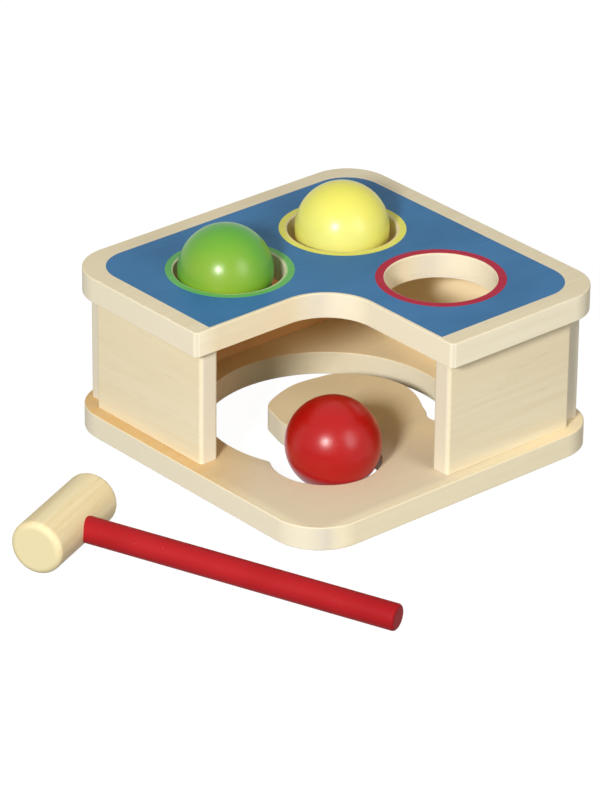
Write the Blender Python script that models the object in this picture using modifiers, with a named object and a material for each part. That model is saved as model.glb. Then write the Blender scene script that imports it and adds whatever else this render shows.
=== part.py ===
"""Ball pounding bench: a wooden toy with a hammer.

A child knocks a ball through one of three holes in the top board. The ball
drops onto the slot in the base board, and because the slot grows wider along
its way, the ball sinks deeper as it goes and so rolls round to the open seat
at the front, where it can be picked up.

The frame is +Z up in metres, with the origin at the middle of the base
board's underside. The open front corner of the bench points to -X, -Y.
"""

import math

import bmesh
import bpy

# Balls, and the holes that they drop through
BALL_DIAMETER = 0.050
HOLE_CLEARANCE = 0.0039
HOLE_BRIDGE = 0.0197
HOLE_MARGIN = 0.01395
BALL_STAND_OUT = 0.0006
GREEN_BALL_DRIFT = 0.0032
GREEN_BALL_DRIFT_DIRECTION = math.radians(-164)

# Boards
BASE_THICKNESS = 0.013
TOP_THICKNESS = 0.014
BOARD_CORNER_RADIUS = 0.025
BASE_FRONT_RADIUS = 0.0285
BASE_LEFT_RADIUS = 0.0263
TOP_RIGHT_RADIUS = 0.0232
RIM_ROUNDING = 0.0007
CUT_OFFSET = 0.0085
CUT_FILLET_RADIUS = 0.0285
ARM_CORNER_RADIUS = 0.0028

# Walls
WALL_HEIGHT = 0.065
WALL_THICKNESS = 0.0114
WALL_INSET = 0.007
WALL_EDGE_RADIUS = 0.0022
WALL_END_STEP = 0.0055
PANEL_SETBACK = 0.0045

# Ball slot in the base board
TRACK_SHIFT = 0.0022
TRACK_SHIFT_DIRECTION = math.radians(125)
SLOT_OUTER_REACH = 0.0114
SLOT_NARROW_WIDTH = 0.0150
SLOT_WIDE_WIDTH = 0.0371
SLOT_END_DIRECTION = math.radians(-45.4)
SEAT_CLEARANCE = 0.0038
CUSP_RADIUS = 0.0030
ISLAND_CORNER_RADIUS = 0.0050
RED_BALL_LEAN = math.radians(-98)

# Elastic lines that hold a ball in its hole
LINE_DIAMETER = 0.0010
LINE_HEIGHT = 0.0035
LINE_ANCHOR_DEPTH = 0.006
LINE_HEADING = math.radians(-45)

# Dowels between the walls and the top board
DOWEL_DIAMETER = 0.006
DOWEL_LENGTH = 0.026
DOWEL_TOP_DEPTH = 0.008
DOWEL_CHAMFER = 0.0008

# Countersunk screws from the base board into the walls
SCREW_DIAMETER = 0.0035
SCREW_HEAD_DIAMETER = 0.0070
SCREW_HEAD_DEPTH = 0.0022
SCREW_HEAD_RIM = 0.0004
SCREW_LENGTH = 0.030
SCREW_TIP_LENGTH = 0.004
SCREW_TIP_DIAMETER = 0.0008
SCREW_SINK = 0.0006

# Hammer, and where it lies
HEAD_DIAMETER = 0.0286
HEAD_LENGTH = 0.0624
HEAD_EDGE_RADIUS = 0.0036
HANDLE_DIAMETER = 0.0140
HANDLE_REACH = 0.1845
HANDLE_EMBED = 0.0050
HANDLE_EDGE_RADIUS = 0.0018
HAMMER_X = -0.1859
HAMMER_Y = -0.0091
HAMMER_HEADING = math.radians(-66.65)

# Clearances and overrun of cutting tools
JOINT_GAP = 0.0003
CUT_OVERRUN = 0.001
WELD_DISTANCE = 0.000001

# Directions along the slot in degrees, and the share of its widening there
SLOT_GROWTH = (
    (-46, 0),
    (-34, 0.09),
    (-5, 0.10),
    (20, 0.27),
    (45, 0.44),
    (60, 0.64),
    (80, 0.775),
    (105, 0.88),
    (135, 0.865),
    (153, 0.98),
    (170, 1),
)

# Shares of a wall's length at which its fasteners sit
FASTENER_SHARES = (0.18, 0.82)

# How far a chord may leave its arc, and numbers of facets
ARC_TOLERANCE = 0.00008
RIM_SEGMENTS = 1
ISLAND_STEPS = 72
BALL_SEGMENTS = 36
BALL_RINGS = 18
HEAD_SEGMENTS = 36
HANDLE_SEGMENTS = 24
DOWEL_SEGMENTS = 12
SCREW_SEGMENTS = 12
LINE_RESOLUTION = 1
LINE_BORE_SEGMENTS = 8
EDGE_SEGMENTS = 3

# Sizes worked out from the ones above
BALL_RADIUS = BALL_DIAMETER / 2
HOLE_RADIUS = BALL_RADIUS + HOLE_CLEARANCE
HOLE_OFFSET = HOLE_RADIUS + HOLE_BRIDGE / 2
INNER_FACE = HOLE_OFFSET + HOLE_RADIUS + HOLE_MARGIN
OUTER_FACE = INNER_FACE + WALL_THICKNESS
BOARD_HALF = OUTER_FACE + WALL_INSET
WALL_BOTTOM = BASE_THICKNESS + JOINT_GAP
WALL_TOP = BASE_THICKNESS + WALL_HEIGHT - JOINT_GAP
TOP_UNDERSIDE = BASE_THICKNESS + WALL_HEIGHT
TOP_FACE = TOP_UNDERSIDE + TOP_THICKNESS
HOLE_CIRCLE_RADIUS = math.hypot(HOLE_OFFSET, HOLE_OFFSET)
SLOT_OUTER_RADIUS = HOLE_CIRCLE_RADIUS + SLOT_OUTER_REACH
SEAT_RADIUS = BALL_RADIUS + SEAT_CLEARANCE
SLOT_END_RADIUS = SLOT_NARROW_WIDTH / 2
ISLAND_LEFT_RADIUS = SLOT_OUTER_RADIUS - SLOT_WIDE_WIDTH
LINE_RADIUS = LINE_DIAMETER / 2
LINE_LEVEL = TOP_UNDERSIDE + LINE_HEIGHT
BALL_LEVEL = TOP_FACE + BALL_STAND_OUT
HEAD_RADIUS = HEAD_DIAMETER / 2
HANDLE_RADIUS = HANDLE_DIAMETER / 2

WOOD = ("pale_wood", (0.80, 0.68, 0.50), 0.55)
HEAD_WOOD = ("head_wood", (0.80, 0.66, 0.40), 0.55)
DOWEL_WOOD = ("dowel_wood", (0.72, 0.56, 0.36), 0.60)
GREEN = ("green_lacquer", (0.13, 0.45, 0.03), 0.20)
YELLOW = ("yellow_lacquer", (0.88, 0.76, 0.08), 0.20)
RED = ("red_lacquer", (0.58, 0.01, 0.02), 0.20)
HANDLE_PAINT = ("handle_paint", (0.60, 0.01, 0.02), 0.35)
STEEL = ("zinc_steel", (0.62, 0.62, 0.60), 0.35)
CLEAR = ("clear_elastic", (0.90, 0.90, 0.88), 0.25)


def remove_all_objects():
    """Empties the file before the model is made."""
    for item in list(bpy.data.objects):
        bpy.data.objects.remove(item, do_unlink=True)


def new_collection(name):
    """Makes a collection under the scene's own."""
    collection = bpy.data.collections.new(name)
    bpy.context.scene.collection.children.link(collection)
    return collection


def material_of(recipe):
    """Gives the Principled material of a recipe (name, colour, roughness)."""
    name, colour, roughness = recipe
    material = bpy.data.materials.get(name)
    if material is None:
        material = bpy.data.materials.new(name)
        material.use_nodes = True
        shader = material.node_tree.nodes["Principled BSDF"]
        shader.inputs["Base Color"].default_value = (*colour, 1)
        shader.inputs["Roughness"].default_value = roughness
        shader.inputs["Metallic"].default_value = 1 if recipe is STEEL else 0
    return material


def polar(centre, radius, angle):
    """Gives the point at an angle and a distance from a centre."""
    return (centre[0] + radius * math.cos(angle), centre[1] + radius * math.sin(angle))


def angle_to(start, end):
    """Gives the direction from one point to another."""
    return math.atan2(end[1] - start[1], end[0] - start[0])


def arc(centre, radius, start, end):
    """Gives points along an arc; it runs clockwise where end is below start.

    A chord leaves the arc by no more than ARC_TOLERANCE.
    """
    widest = 2 * math.acos(1 - ARC_TOLERANCE / max(radius, ARC_TOLERANCE))
    steps = max(2, math.ceil(abs(end - start) / widest))
    return [polar(centre, radius, start + (end - start) * i / steps) for i in range(steps + 1)]


def turned_up(angle, base):
    """Adds whole turns to an angle until it is above base."""
    while angle <= base:
        angle += math.tau
    return angle


def turned_down(angle, base):
    """Takes whole turns off an angle until it is below base."""
    while angle >= base:
        angle -= math.tau
    return angle


def circles_meet(first, first_radius, second, second_radius, side):
    """Gives where two circles cross, on the left (side 1) or right (side -1)."""
    apart = math.dist(first, second)
    along = (apart ** 2 + first_radius ** 2 - second_radius ** 2) / (2 * apart)
    across = math.sqrt(first_radius ** 2 - along ** 2)
    heading = angle_to(first, second)
    foot = polar(first, along, heading)
    return polar(foot, side * across, heading + math.pi / 2)


def smooth_value(knots, place):
    """Gives a smooth curve's value at a place, from its knots (place, value).

    Between two knots the curve is a cubic, whose slope at each knot is that
    between the knots beside it. It is level at both ends and beyond them.
    """
    if place <= knots[0][0]:
        return knots[0][1]
    if place >= knots[-1][0]:
        return knots[-1][1]
    slopes = [0]
    for before, after in zip(knots, knots[2:]):
        slopes.append((after[1] - before[1]) / (after[0] - before[0]))
    slopes.append(0)
    i = 0
    while knots[i + 1][0] < place:
        i += 1
    span = knots[i + 1][0] - knots[i][0]
    t = (place - knots[i][0]) / span
    held = (1 + 2 * t) * (1 - t) ** 2 * knots[i][1] + t ** 2 * (3 - 2 * t) * knots[i + 1][1]
    bent = t * (1 - t) ** 2 * slopes[i] - t ** 2 * (1 - t) * slopes[i + 1]
    return held + bent * span


def rounded_outline(corners):
    """Gives an outline through corners (x, y, radius), listed counter-clockwise.

    A right-angled corner is rounded by an arc; an inner corner bends the
    other way, which the turn between its two sides tells.
    """
    points = []
    count = len(corners)
    for i, (x, y, radius) in enumerate(corners):
        before = corners[i - 1]
        after = corners[(i + 1) % count]
        arriving = math.atan2(y - before[1], x - before[0])
        leaving = math.atan2(after[1] - y, after[0] - x)
        turn = math.remainder(leaving - arriving, math.tau)
        side = math.copysign(1, turn)
        start = arriving - side * math.pi / 2
        inward = polar((x, y), radius, arriving + math.pi)
        centre = polar(inward, radius, start + math.pi)
        points += arc(centre, radius, start, start + turn)
    return points


def circle(centre, radius):
    """Gives a closed circle's points."""
    return arc(centre, radius, 0, math.tau)[:-1]


def without_doubles(points):
    """Drops a point that repeats the one before it, also across the seam."""
    kept = []
    for point in points:
        if not kept or math.dist(kept[-1], point) > WELD_DISTANCE:
            kept.append(point)
    if math.dist(kept[0], kept[-1]) <= WELD_DISTANCE:
        kept.pop()
    return kept


def finish_part(item, collection, recipe):
    """Links a part and gives it its material."""
    collection.objects.link(item)
    item.data.materials.clear()
    item.data.materials.append(material_of(recipe))
    return item


def slab(name, loops, bottom, top, rounding, collection, recipe):
    """Makes a board from its outline and holes, with rounded rims.

    The outline is a filled 2D curve whose bevel rounds both rims. It becomes
    a mesh with its caps welded on, so that it can be drilled.
    """
    curve = bpy.data.curves.new(name, "CURVE")
    curve.dimensions = "2D"
    curve.fill_mode = "BOTH"
    curve.extrude = (top - bottom) / 2 - rounding
    curve.bevel_depth = rounding
    curve.bevel_resolution = RIM_SEGMENTS
    curve.offset = -rounding
    for loop in loops:
        points = without_doubles(loop)
        spline = curve.splines.new("POLY")
        spline.points.add(len(points) - 1)
        for knot, (x, y) in zip(spline.points, points):
            knot.co = (x, y, 0, 1)
        spline.use_cyclic_u = True
    drawn = bpy.data.objects.new(name + "_outline", curve)
    bpy.context.scene.collection.objects.link(drawn)
    drawn.location = (0, 0, (top + bottom) / 2)
    bpy.context.view_layer.update()
    graph = bpy.context.evaluated_depsgraph_get()
    mesh = bpy.data.meshes.new_from_object(drawn.evaluated_get(graph))
    mesh.name = name
    cleaned = bmesh.new()
    cleaned.from_mesh(mesh)
    bmesh.ops.remove_doubles(cleaned, verts=cleaned.verts, dist=WELD_DISTANCE)
    cleaned.to_mesh(mesh)
    cleaned.free()
    item = bpy.data.objects.new(name, mesh)
    item.matrix_world = drawn.matrix_world
    bpy.data.objects.remove(drawn, do_unlink=True)
    shade(mesh)
    return finish_part(item, collection, recipe)


def shade(mesh):
    """Shades a round mesh smooth and keeps its sharp edges."""
    mesh.shade_smooth()
    mesh.set_sharp_from_angle(angle=math.radians(35))


def turned(name, profile, segments, collection, recipe):
    """Makes a turned piece about its own Z axis from (radius, height) points.

    The profile runs down the outside, from the top of the axis to its bottom.
    """
    mesh = bpy.data.meshes.new(name)
    outline = bmesh.new()
    knots = [outline.verts.new((radius, 0, height)) for radius, height in profile]
    for upper, lower in zip(knots, knots[1:]):
        outline.edges.new((upper, lower))
    outline.to_mesh(mesh)
    outline.free()
    item = bpy.data.objects.new(name, mesh)
    screw = item.modifiers.new("turn", "SCREW")
    screw.axis = "Z"
    screw.angle = math.tau
    screw.steps = segments
    screw.render_steps = segments
    screw.use_merge_vertices = True
    screw.merge_threshold = WELD_DISTANCE
    screw.use_smooth_shade = True
    return finish_part(item, collection, recipe)


def drill(item, cutter):
    """Cuts one object out of another."""
    cut = item.modifiers.new("drill_" + cutter.name, "BOOLEAN")
    cut.operation = "DIFFERENCE"
    cut.solver = "EXACT"
    cut.object = cutter


def hide_cutter(item):
    """Marks an object as a cutting tool, which isn't part of the toy."""
    item.hide_render = True
    item.display_type = "WIRE"
    return item


def quarter_round(radius, height, rounding, downward):
    """Gives a turned profile's rounded edge, listed from the top down."""
    points = []
    for i in range(EDGE_SEGMENTS + 1):
        angle = math.pi / 2 * i / EDGE_SEGMENTS
        reach = radius - rounding + rounding * math.sin(angle)
        drop = rounding - rounding * math.cos(angle)
        points.append((reach, height - drop))
    if downward:
        points = [(reach, 2 * height - level) for reach, level in points]
        points.reverse()
    return points


class Bench:
    """Builds the toy in its own collection, with its cutters in another."""

    def __init__(self):
        self.parts = new_collection("ball_pounding_bench")
        self.cutters = new_collection("bench_cutters")
        self.track_centre = polar((0, 0), TRACK_SHIFT, TRACK_SHIFT_DIRECTION)
        self.seat_centre = (-HOLE_OFFSET, -HOLE_OFFSET)

    def hole_centre(self, side_x, side_y):
        """Gives a ball hole's centre in its quarter of the board."""
        return (side_x * HOLE_OFFSET, side_y * HOLE_OFFSET)

    def island_edge(self, start, stop):
        """Gives points along the island's edge, between two directions."""
        points = []
        for i in range(ISLAND_STEPS + 1):
            angle = start + (stop - start) * i / ISLAND_STEPS
            share = smooth_value(SLOT_GROWTH, math.degrees(angle))
            width = SLOT_NARROW_WIDTH + (SLOT_WIDE_WIDTH - SLOT_NARROW_WIDTH) * share
            points.append(polar(self.track_centre, SLOT_OUTER_RADIUS - width, angle))
        return points

    def slot_outline(self):
        """Gives the outline of the slot and the seat, as one opening.

        The slot's outer edge is a circle. Its inner edge, the island's, stands
        off from that circle by the slot's width, which grows along the way.
        The slot starts in a round end and opens into the seat.
        """
        track = self.track_centre
        seat = self.seat_centre
        cusp = circles_meet(
            track, SLOT_OUTER_RADIUS + CUSP_RADIUS, seat, SEAT_RADIUS + CUSP_RADIUS, -1
        )
        tip = circles_meet(
            track,
            ISLAND_LEFT_RADIUS - ISLAND_CORNER_RADIUS,
            seat,
            SEAT_RADIUS + ISLAND_CORNER_RADIUS,
            -1,
        )
        cusp_from = turned_up(angle_to(track, cusp), SLOT_END_DIRECTION)
        points = arc(track, SLOT_OUTER_RADIUS, SLOT_END_DIRECTION, cusp_from)
        start = angle_to(cusp, track)
        points += arc(cusp, CUSP_RADIUS, start, turned_down(angle_to(cusp, seat), start))
        start = angle_to(seat, cusp)
        points += arc(seat, SEAT_RADIUS, start, turned_up(angle_to(seat, tip), start))
        island_from = turned_up(angle_to(track, tip), SLOT_END_DIRECTION)
        start = angle_to(tip, seat)
        points += arc(tip, ISLAND_CORNER_RADIUS, start, turned_down(island_from, start))
        points += self.island_edge(island_from, SLOT_END_DIRECTION)
        end = polar(track, SLOT_OUTER_RADIUS - SLOT_END_RADIUS, SLOT_END_DIRECTION)
        start = SLOT_END_DIRECTION + math.pi
        points += arc(end, SLOT_END_RADIUS, start, start + math.pi)
        return points

    def build_base_board(self):
        """Makes the base board with its slot and seat."""
        half = BOARD_HALF
        outline = rounded_outline([
            (-half, -half, BASE_FRONT_RADIUS),
            (half, -half, BOARD_CORNER_RADIUS),
            (half, half, BOARD_CORNER_RADIUS),
            (-half, half, BASE_LEFT_RADIUS),
        ])
        loops = [outline, self.slot_outline()]
        return slab("base_board", loops, 0, BASE_THICKNESS, RIM_ROUNDING, self.parts, WOOD)

    def build_top_board(self):
        """Makes the L-shaped top board with its three ball holes."""
        half = BOARD_HALF
        cut = -CUT_OFFSET
        outline = rounded_outline([
            (cut, cut, CUT_FILLET_RADIUS),
            (cut, -half, ARM_CORNER_RADIUS),
            (half, -half, TOP_RIGHT_RADIUS),
            (half, half, BOARD_CORNER_RADIUS),
            (-half, half, BOARD_CORNER_RADIUS),
            (-half, cut, ARM_CORNER_RADIUS),
        ])
        loops = [outline]
        for side_x, side_y in ((-1, 1), (1, 1), (1, -1)):
            loops.append(circle(self.hole_centre(side_x, side_y), HOLE_RADIUS))
        return slab("top_board", loops, TOP_UNDERSIDE, TOP_FACE, RIM_ROUNDING, self.parts, WOOD)

    def build_walls(self):
        """Makes the four walls and returns them with their plan boxes."""
        front_end = -CUT_OFFSET + PANEL_SETBACK
        butt = INNER_FACE - JOINT_GAP
        step = OUTER_FACE - WALL_END_STEP
        plans = {
            "front_left_panel": (-OUTER_FACE, front_end, -INNER_FACE, butt),
            "front_right_panel": (front_end, -OUTER_FACE, butt, -INNER_FACE),
            "back_left_wall": (-step, INNER_FACE, step, OUTER_FACE),
            "back_right_wall": (INNER_FACE, -step, OUTER_FACE, butt),
        }
        walls = []
        for name, (low_x, low_y, high_x, high_y) in plans.items():
            outline = rounded_outline([
                (low_x, low_y, WALL_EDGE_RADIUS),
                (high_x, low_y, WALL_EDGE_RADIUS),
                (high_x, high_y, WALL_EDGE_RADIUS),
                (low_x, high_y, WALL_EDGE_RADIUS),
            ])
            wall = slab(name, [outline], WALL_BOTTOM, WALL_TOP, 0, self.parts, WOOD)
            walls.append((wall, plans[name]))
        return walls

    def fastener_places(self, plan):
        """Gives the plan places of a wall's two rows of fasteners."""
        low_x, low_y, high_x, high_y = plan
        places = []
        for share in FASTENER_SHARES:
            if high_x - low_x > high_y - low_y:
                places.append((low_x + (high_x - low_x) * share, (low_y + high_y) / 2))
            else:
                places.append(((low_x + high_x) / 2, low_y + (high_y - low_y) * share))
        return places

    def dowel_profile(self, clearance):
        """Gives a dowel's turned profile, or its bore's where it has clearance."""
        radius = DOWEL_DIAMETER / 2 + clearance
        top = TOP_UNDERSIDE + DOWEL_TOP_DEPTH + clearance
        bottom = TOP_UNDERSIDE + DOWEL_TOP_DEPTH - DOWEL_LENGTH - clearance
        return [
            (0, top),
            (radius - DOWEL_CHAMFER, top),
            (radius, top - DOWEL_CHAMFER),
            (radius, bottom + DOWEL_CHAMFER),
            (radius - DOWEL_CHAMFER, bottom),
            (0, bottom),
        ]

    def add_dowel(self, index, place, wall, top_board):
        """Seats one dowel in its wall and in the top board."""
        dowel = turned(
            f"wall_dowel_{index}", self.dowel_profile(0), DOWEL_SEGMENTS, self.parts, DOWEL_WOOD
        )
        dowel.location = (*place, 0)
        bore = hide_cutter(turned(
            f"dowel_bore_{index}",
            self.dowel_profile(JOINT_GAP),
            DOWEL_SEGMENTS,
            self.cutters,
            DOWEL_WOOD,
        ))
        bore.location = dowel.location
        drill(wall, bore)
        drill(top_board, bore)

    def screw_profile(self, clearance):
        """Gives a countersunk screw's profile, point up, or its bore's."""
        shank = SCREW_DIAMETER / 2 + clearance
        head = SCREW_HEAD_DIAMETER / 2 + clearance
        seat = SCREW_SINK
        tip = seat + SCREW_LENGTH + clearance
        profile = [
            (0, tip),
            (SCREW_TIP_DIAMETER / 2 + clearance, tip),
            (shank, tip - SCREW_TIP_LENGTH),
            (shank, seat + SCREW_HEAD_DEPTH),
            (head, seat + SCREW_HEAD_RIM),
        ]
        if clearance:
            profile += [(head, -CUT_OVERRUN), (0, -CUT_OVERRUN)]
        else:
            profile += [(head, seat), (0, seat)]
        return profile

    def add_screw(self, index, place, wall, base_board):
        """Seats one screw in the base board and in its wall."""
        screw = turned(
            f"base_screw_{index}", self.screw_profile(0), SCREW_SEGMENTS, self.parts, STEEL
        )
        screw.location = (*place, 0)
        bore = hide_cutter(turned(
            f"screw_bore_{index}",
            self.screw_profile(JOINT_GAP),
            SCREW_SEGMENTS,
            self.cutters,
            STEEL,
        ))
        bore.location = screw.location
        drill(wall, bore)
        drill(base_board, bore)

    def line_curve(self, name, radius, length, collection):
        """Makes a straight round line along its own X axis."""
        curve = bpy.data.curves.new(name, "CURVE")
        curve.dimensions = "3D"
        curve.bevel_depth = radius
        curve.bevel_resolution = LINE_RESOLUTION
        curve.use_fill_caps = True
        spline = curve.splines.new("POLY")
        spline.points.add(1)
        spline.points[0].co = (-length / 2, 0, 0, 1)
        spline.points[1].co = (length / 2, 0, 0, 1)
        item = bpy.data.objects.new(name, curve)
        return finish_part(item, collection, CLEAR)

    def line_bore(self, name, radius, length):
        """Makes the drill that cuts both anchors of a line."""
        mesh = bpy.data.meshes.new(name)
        shape = bmesh.new()
        bmesh.ops.create_cone(
            shape,
            cap_ends=True,
            segments=LINE_BORE_SEGMENTS,
            radius1=radius,
            radius2=radius,
            depth=length,
        )
        shape.to_mesh(mesh)
        shape.free()
        item = bpy.data.objects.new(name, mesh)
        return hide_cutter(finish_part(item, self.cutters, CLEAR))

    def add_lines(self, colour, hole, ball, top_board):
        """Stretches two elastic lines across a hole, one on each side of its ball."""
        reach = BALL_RADIUS + JOINT_GAP + LINE_RADIUS
        spread = math.sqrt(reach ** 2 - (BALL_LEVEL - LINE_LEVEL) ** 2)
        across = LINE_HEADING + math.pi / 2
        drift = math.dist(hole, ball) * math.cos(angle_to(hole, ball) - across)
        for label, side in (("front", -1), ("back", 1)):
            offset = drift + side * spread
            length = 2 * math.sqrt(HOLE_RADIUS ** 2 - offset ** 2) + 2 * LINE_ANCHOR_DEPTH
            place = (*polar(hole, offset, across), LINE_LEVEL)
            line = self.line_curve(f"{colour}_hole_{label}_line", LINE_RADIUS, length, self.parts)
            line.location = place
            line.rotation_euler = (0, 0, LINE_HEADING)
            bore = self.line_bore(
                f"{colour}_{label}_line_bore",
                LINE_RADIUS + JOINT_GAP,
                length + 2 * JOINT_GAP,
            )
            bore.location = place
            bore.rotation_euler = (0, math.pi / 2, LINE_HEADING)
            drill(top_board, bore)

    def add_ball(self, name, centre, recipe):
        """Makes one ball with its origin at its centre, on its joint's axis."""
        mesh = bpy.data.meshes.new(name)
        shape = bmesh.new()
        bmesh.ops.create_uvsphere(
            shape, u_segments=BALL_SEGMENTS, v_segments=BALL_RINGS, radius=BALL_RADIUS
        )
        shape.to_mesh(mesh)
        shape.free()
        mesh.shade_smooth()
        item = bpy.data.objects.new(name, mesh)
        item.location = centre
        return finish_part(item, self.parts, recipe)

    def red_ball_centre(self):
        """Gives the centre of the ball that leans on the seat's rounded rim."""
        rim_level = BASE_THICKNESS - RIM_ROUNDING
        reach = BALL_RADIUS + RIM_ROUNDING + JOINT_GAP
        across = math.sqrt(reach ** 2 - (BALL_RADIUS - rim_level) ** 2)
        lean = SEAT_RADIUS + RIM_ROUNDING - across
        return (*polar(self.seat_centre, lean, RED_BALL_LEAN), BALL_RADIUS)

    def build_balls(self, top_board):
        """Sets two balls on the lines of their holes and the third in the seat."""
        green = self.hole_centre(-1, 1)
        yellow = self.hole_centre(1, 1)
        empty = self.hole_centre(1, -1)
        drifted = polar(green, GREEN_BALL_DRIFT, GREEN_BALL_DRIFT_DIRECTION)
        self.add_lines("green", green, drifted, top_board)
        self.add_lines("yellow", yellow, yellow, top_board)
        self.add_lines("red", empty, empty, top_board)
        self.add_ball("green_ball", (*drifted, BALL_LEVEL), GREEN)
        self.add_ball("yellow_ball", (*yellow, BALL_LEVEL), YELLOW)
        self.add_ball("red_ball", self.red_ball_centre(), RED)

    def build_hammer(self):
        """Lays the hammer down: its head and its handle's end touch the floor."""
        touching = HANDLE_REACH - HANDLE_EDGE_RADIUS
        tilt = math.asin((HEAD_RADIUS - HANDLE_RADIUS) / touching)
        for _ in range(3):
            tilt = math.asin((HEAD_RADIUS - HANDLE_RADIUS * math.cos(tilt)) / touching)
        pose = bpy.data.objects.new("hammer_pose", None)
        self.parts.objects.link(pose)
        pose.location = (HAMMER_X, HAMMER_Y, HEAD_RADIUS)
        pose.rotation_euler = (0, tilt, HAMMER_HEADING)

        half = HEAD_LENGTH / 2
        profile = [(0, half)]
        profile += quarter_round(HEAD_RADIUS, half, HEAD_EDGE_RADIUS, False)
        profile += quarter_round(HEAD_RADIUS, -half, HEAD_EDGE_RADIUS, True)
        profile += [(0, -half)]
        head = turned("hammer_head", profile, HEAD_SEGMENTS, self.parts, HEAD_WOOD)
        head.parent = pose
        head.rotation_euler = (math.pi / 2, 0, 0)

        start = -HANDLE_EMBED
        profile = [(0, HANDLE_REACH)]
        profile += quarter_round(HANDLE_RADIUS, HANDLE_REACH, HANDLE_EDGE_RADIUS, False)
        profile += [(HANDLE_RADIUS, start), (0, start)]
        handle = turned(
            "hammer_handle", profile, HANDLE_SEGMENTS, self.parts, HANDLE_PAINT
        )
        handle.parent = pose
        handle.rotation_euler = (0, math.pi / 2, 0)

        bore_radius = HANDLE_RADIUS + JOINT_GAP
        profile = [
            (0, HEAD_RADIUS + CUT_OVERRUN),
            (bore_radius, HEAD_RADIUS + CUT_OVERRUN),
            (bore_radius, start - JOINT_GAP),
            (0, start - JOINT_GAP),
        ]
        bore = turned("handle_bore", profile, HANDLE_SEGMENTS, self.cutters, HEAD_WOOD)
        hide_cutter(bore)
        bore.parent = pose
        bore.rotation_euler = handle.rotation_euler
        drill(head, bore)

    def build(self):
        """Builds every piece of the toy."""
        base_board = self.build_base_board()
        top_board = self.build_top_board()
        index = 0
        for wall, plan in self.build_walls():
            for place in self.fastener_places(plan):
                index += 1
                self.add_dowel(index, place, wall, top_board)
                self.add_screw(index, place, wall, base_board)
        self.build_balls(top_board)
        self.build_hammer()


remove_all_objects()
Bench().build()
bpy.context.view_layer.update()
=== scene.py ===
"""Looks of the ball pounding bench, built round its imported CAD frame.

The frame gives every piece's place. This script replaces the faceted solids
with fine surfaces, prints the coloured field and rings on the top board,
dresses each piece in its own wood, lacquer, paint or metal, and sets up the
camera, the lamps and the white studio floor.

Lengths are in metres, +Z is up, and the origin is the middle of the base
board's underside. The open front corner of the bench points to -X, -Y.
"""

import logging
import math
from collections.abc import Sequence
from dataclasses import dataclass
from enum import Enum

import bpy
import numpy as np
from mathutils import Euler, Matrix, Vector
from mathutils.geometry import tessellate_polygon


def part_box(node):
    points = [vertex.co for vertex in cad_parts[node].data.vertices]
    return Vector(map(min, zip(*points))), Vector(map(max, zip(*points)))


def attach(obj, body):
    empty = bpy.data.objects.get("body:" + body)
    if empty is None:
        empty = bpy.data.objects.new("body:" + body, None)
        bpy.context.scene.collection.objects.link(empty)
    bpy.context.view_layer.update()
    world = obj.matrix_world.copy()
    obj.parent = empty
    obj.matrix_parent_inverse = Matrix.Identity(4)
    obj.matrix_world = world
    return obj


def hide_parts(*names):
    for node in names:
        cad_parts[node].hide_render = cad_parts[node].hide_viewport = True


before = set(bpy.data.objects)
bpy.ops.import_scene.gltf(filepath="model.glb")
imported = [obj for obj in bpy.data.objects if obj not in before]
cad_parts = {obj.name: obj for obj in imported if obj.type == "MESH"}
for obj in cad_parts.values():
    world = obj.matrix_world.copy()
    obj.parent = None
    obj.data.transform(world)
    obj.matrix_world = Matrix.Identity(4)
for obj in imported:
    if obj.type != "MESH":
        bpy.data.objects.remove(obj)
log = logging.getLogger("bench_looks")

MILLIMETRE = 0.001
MICROMETRE = 0.000001
FULL_TURN = 2 * math.pi
QUARTER_TURN = math.pi / 2

Pair = tuple[float, float]
Triple = tuple[float, float, float]
Socket = bpy.types.NodeSocket


class Body(Enum):
    """The bodies of the frame that pieces ride on."""

    BENCH = "bench"
    GREEN_BALL = "green_ball"
    YELLOW_BALL = "yellow_ball"
    RED_BALL = "red_ball"
    HAMMER = "hammer"


class Side(Enum):
    """The directions that faces look in; the left front looks along -X."""

    UP = (0.0, 0.0, 1.0)
    DOWN = (0.0, 0.0, -1.0)
    LEFT_FRONT = (-1.0, 0.0, 0.0)
    RIGHT_FRONT = (0.0, -1.0, 0.0)
    RIGHT_BACK = (1.0, 0.0, 0.0)
    LEFT_BACK = (0.0, 1.0, 0.0)
    FRONT = (-0.7071, -0.7071, 0.0)
    BACK = (0.7071, 0.7071, 0.0)
    LEFT = (-0.7071, 0.7071, 0.0)
    RIGHT = (0.7071, -0.7071, 0.0)


class Grain(Enum):
    """The direction of a board's grain, as the turn that brings it onto X."""

    ALONG_X = (0.0, 0.0, 0.0)
    ALONG_Y = (0.0, 0.0, QUARTER_TURN)


def unit_circle(columns: int) -> np.ndarray:
    """Gives the cosine and sine of evenly spaced angles, a row for each."""
    around = np.arange(columns) * FULL_TURN / columns
    return np.stack([np.cos(around), np.sin(around)], axis=1)


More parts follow.
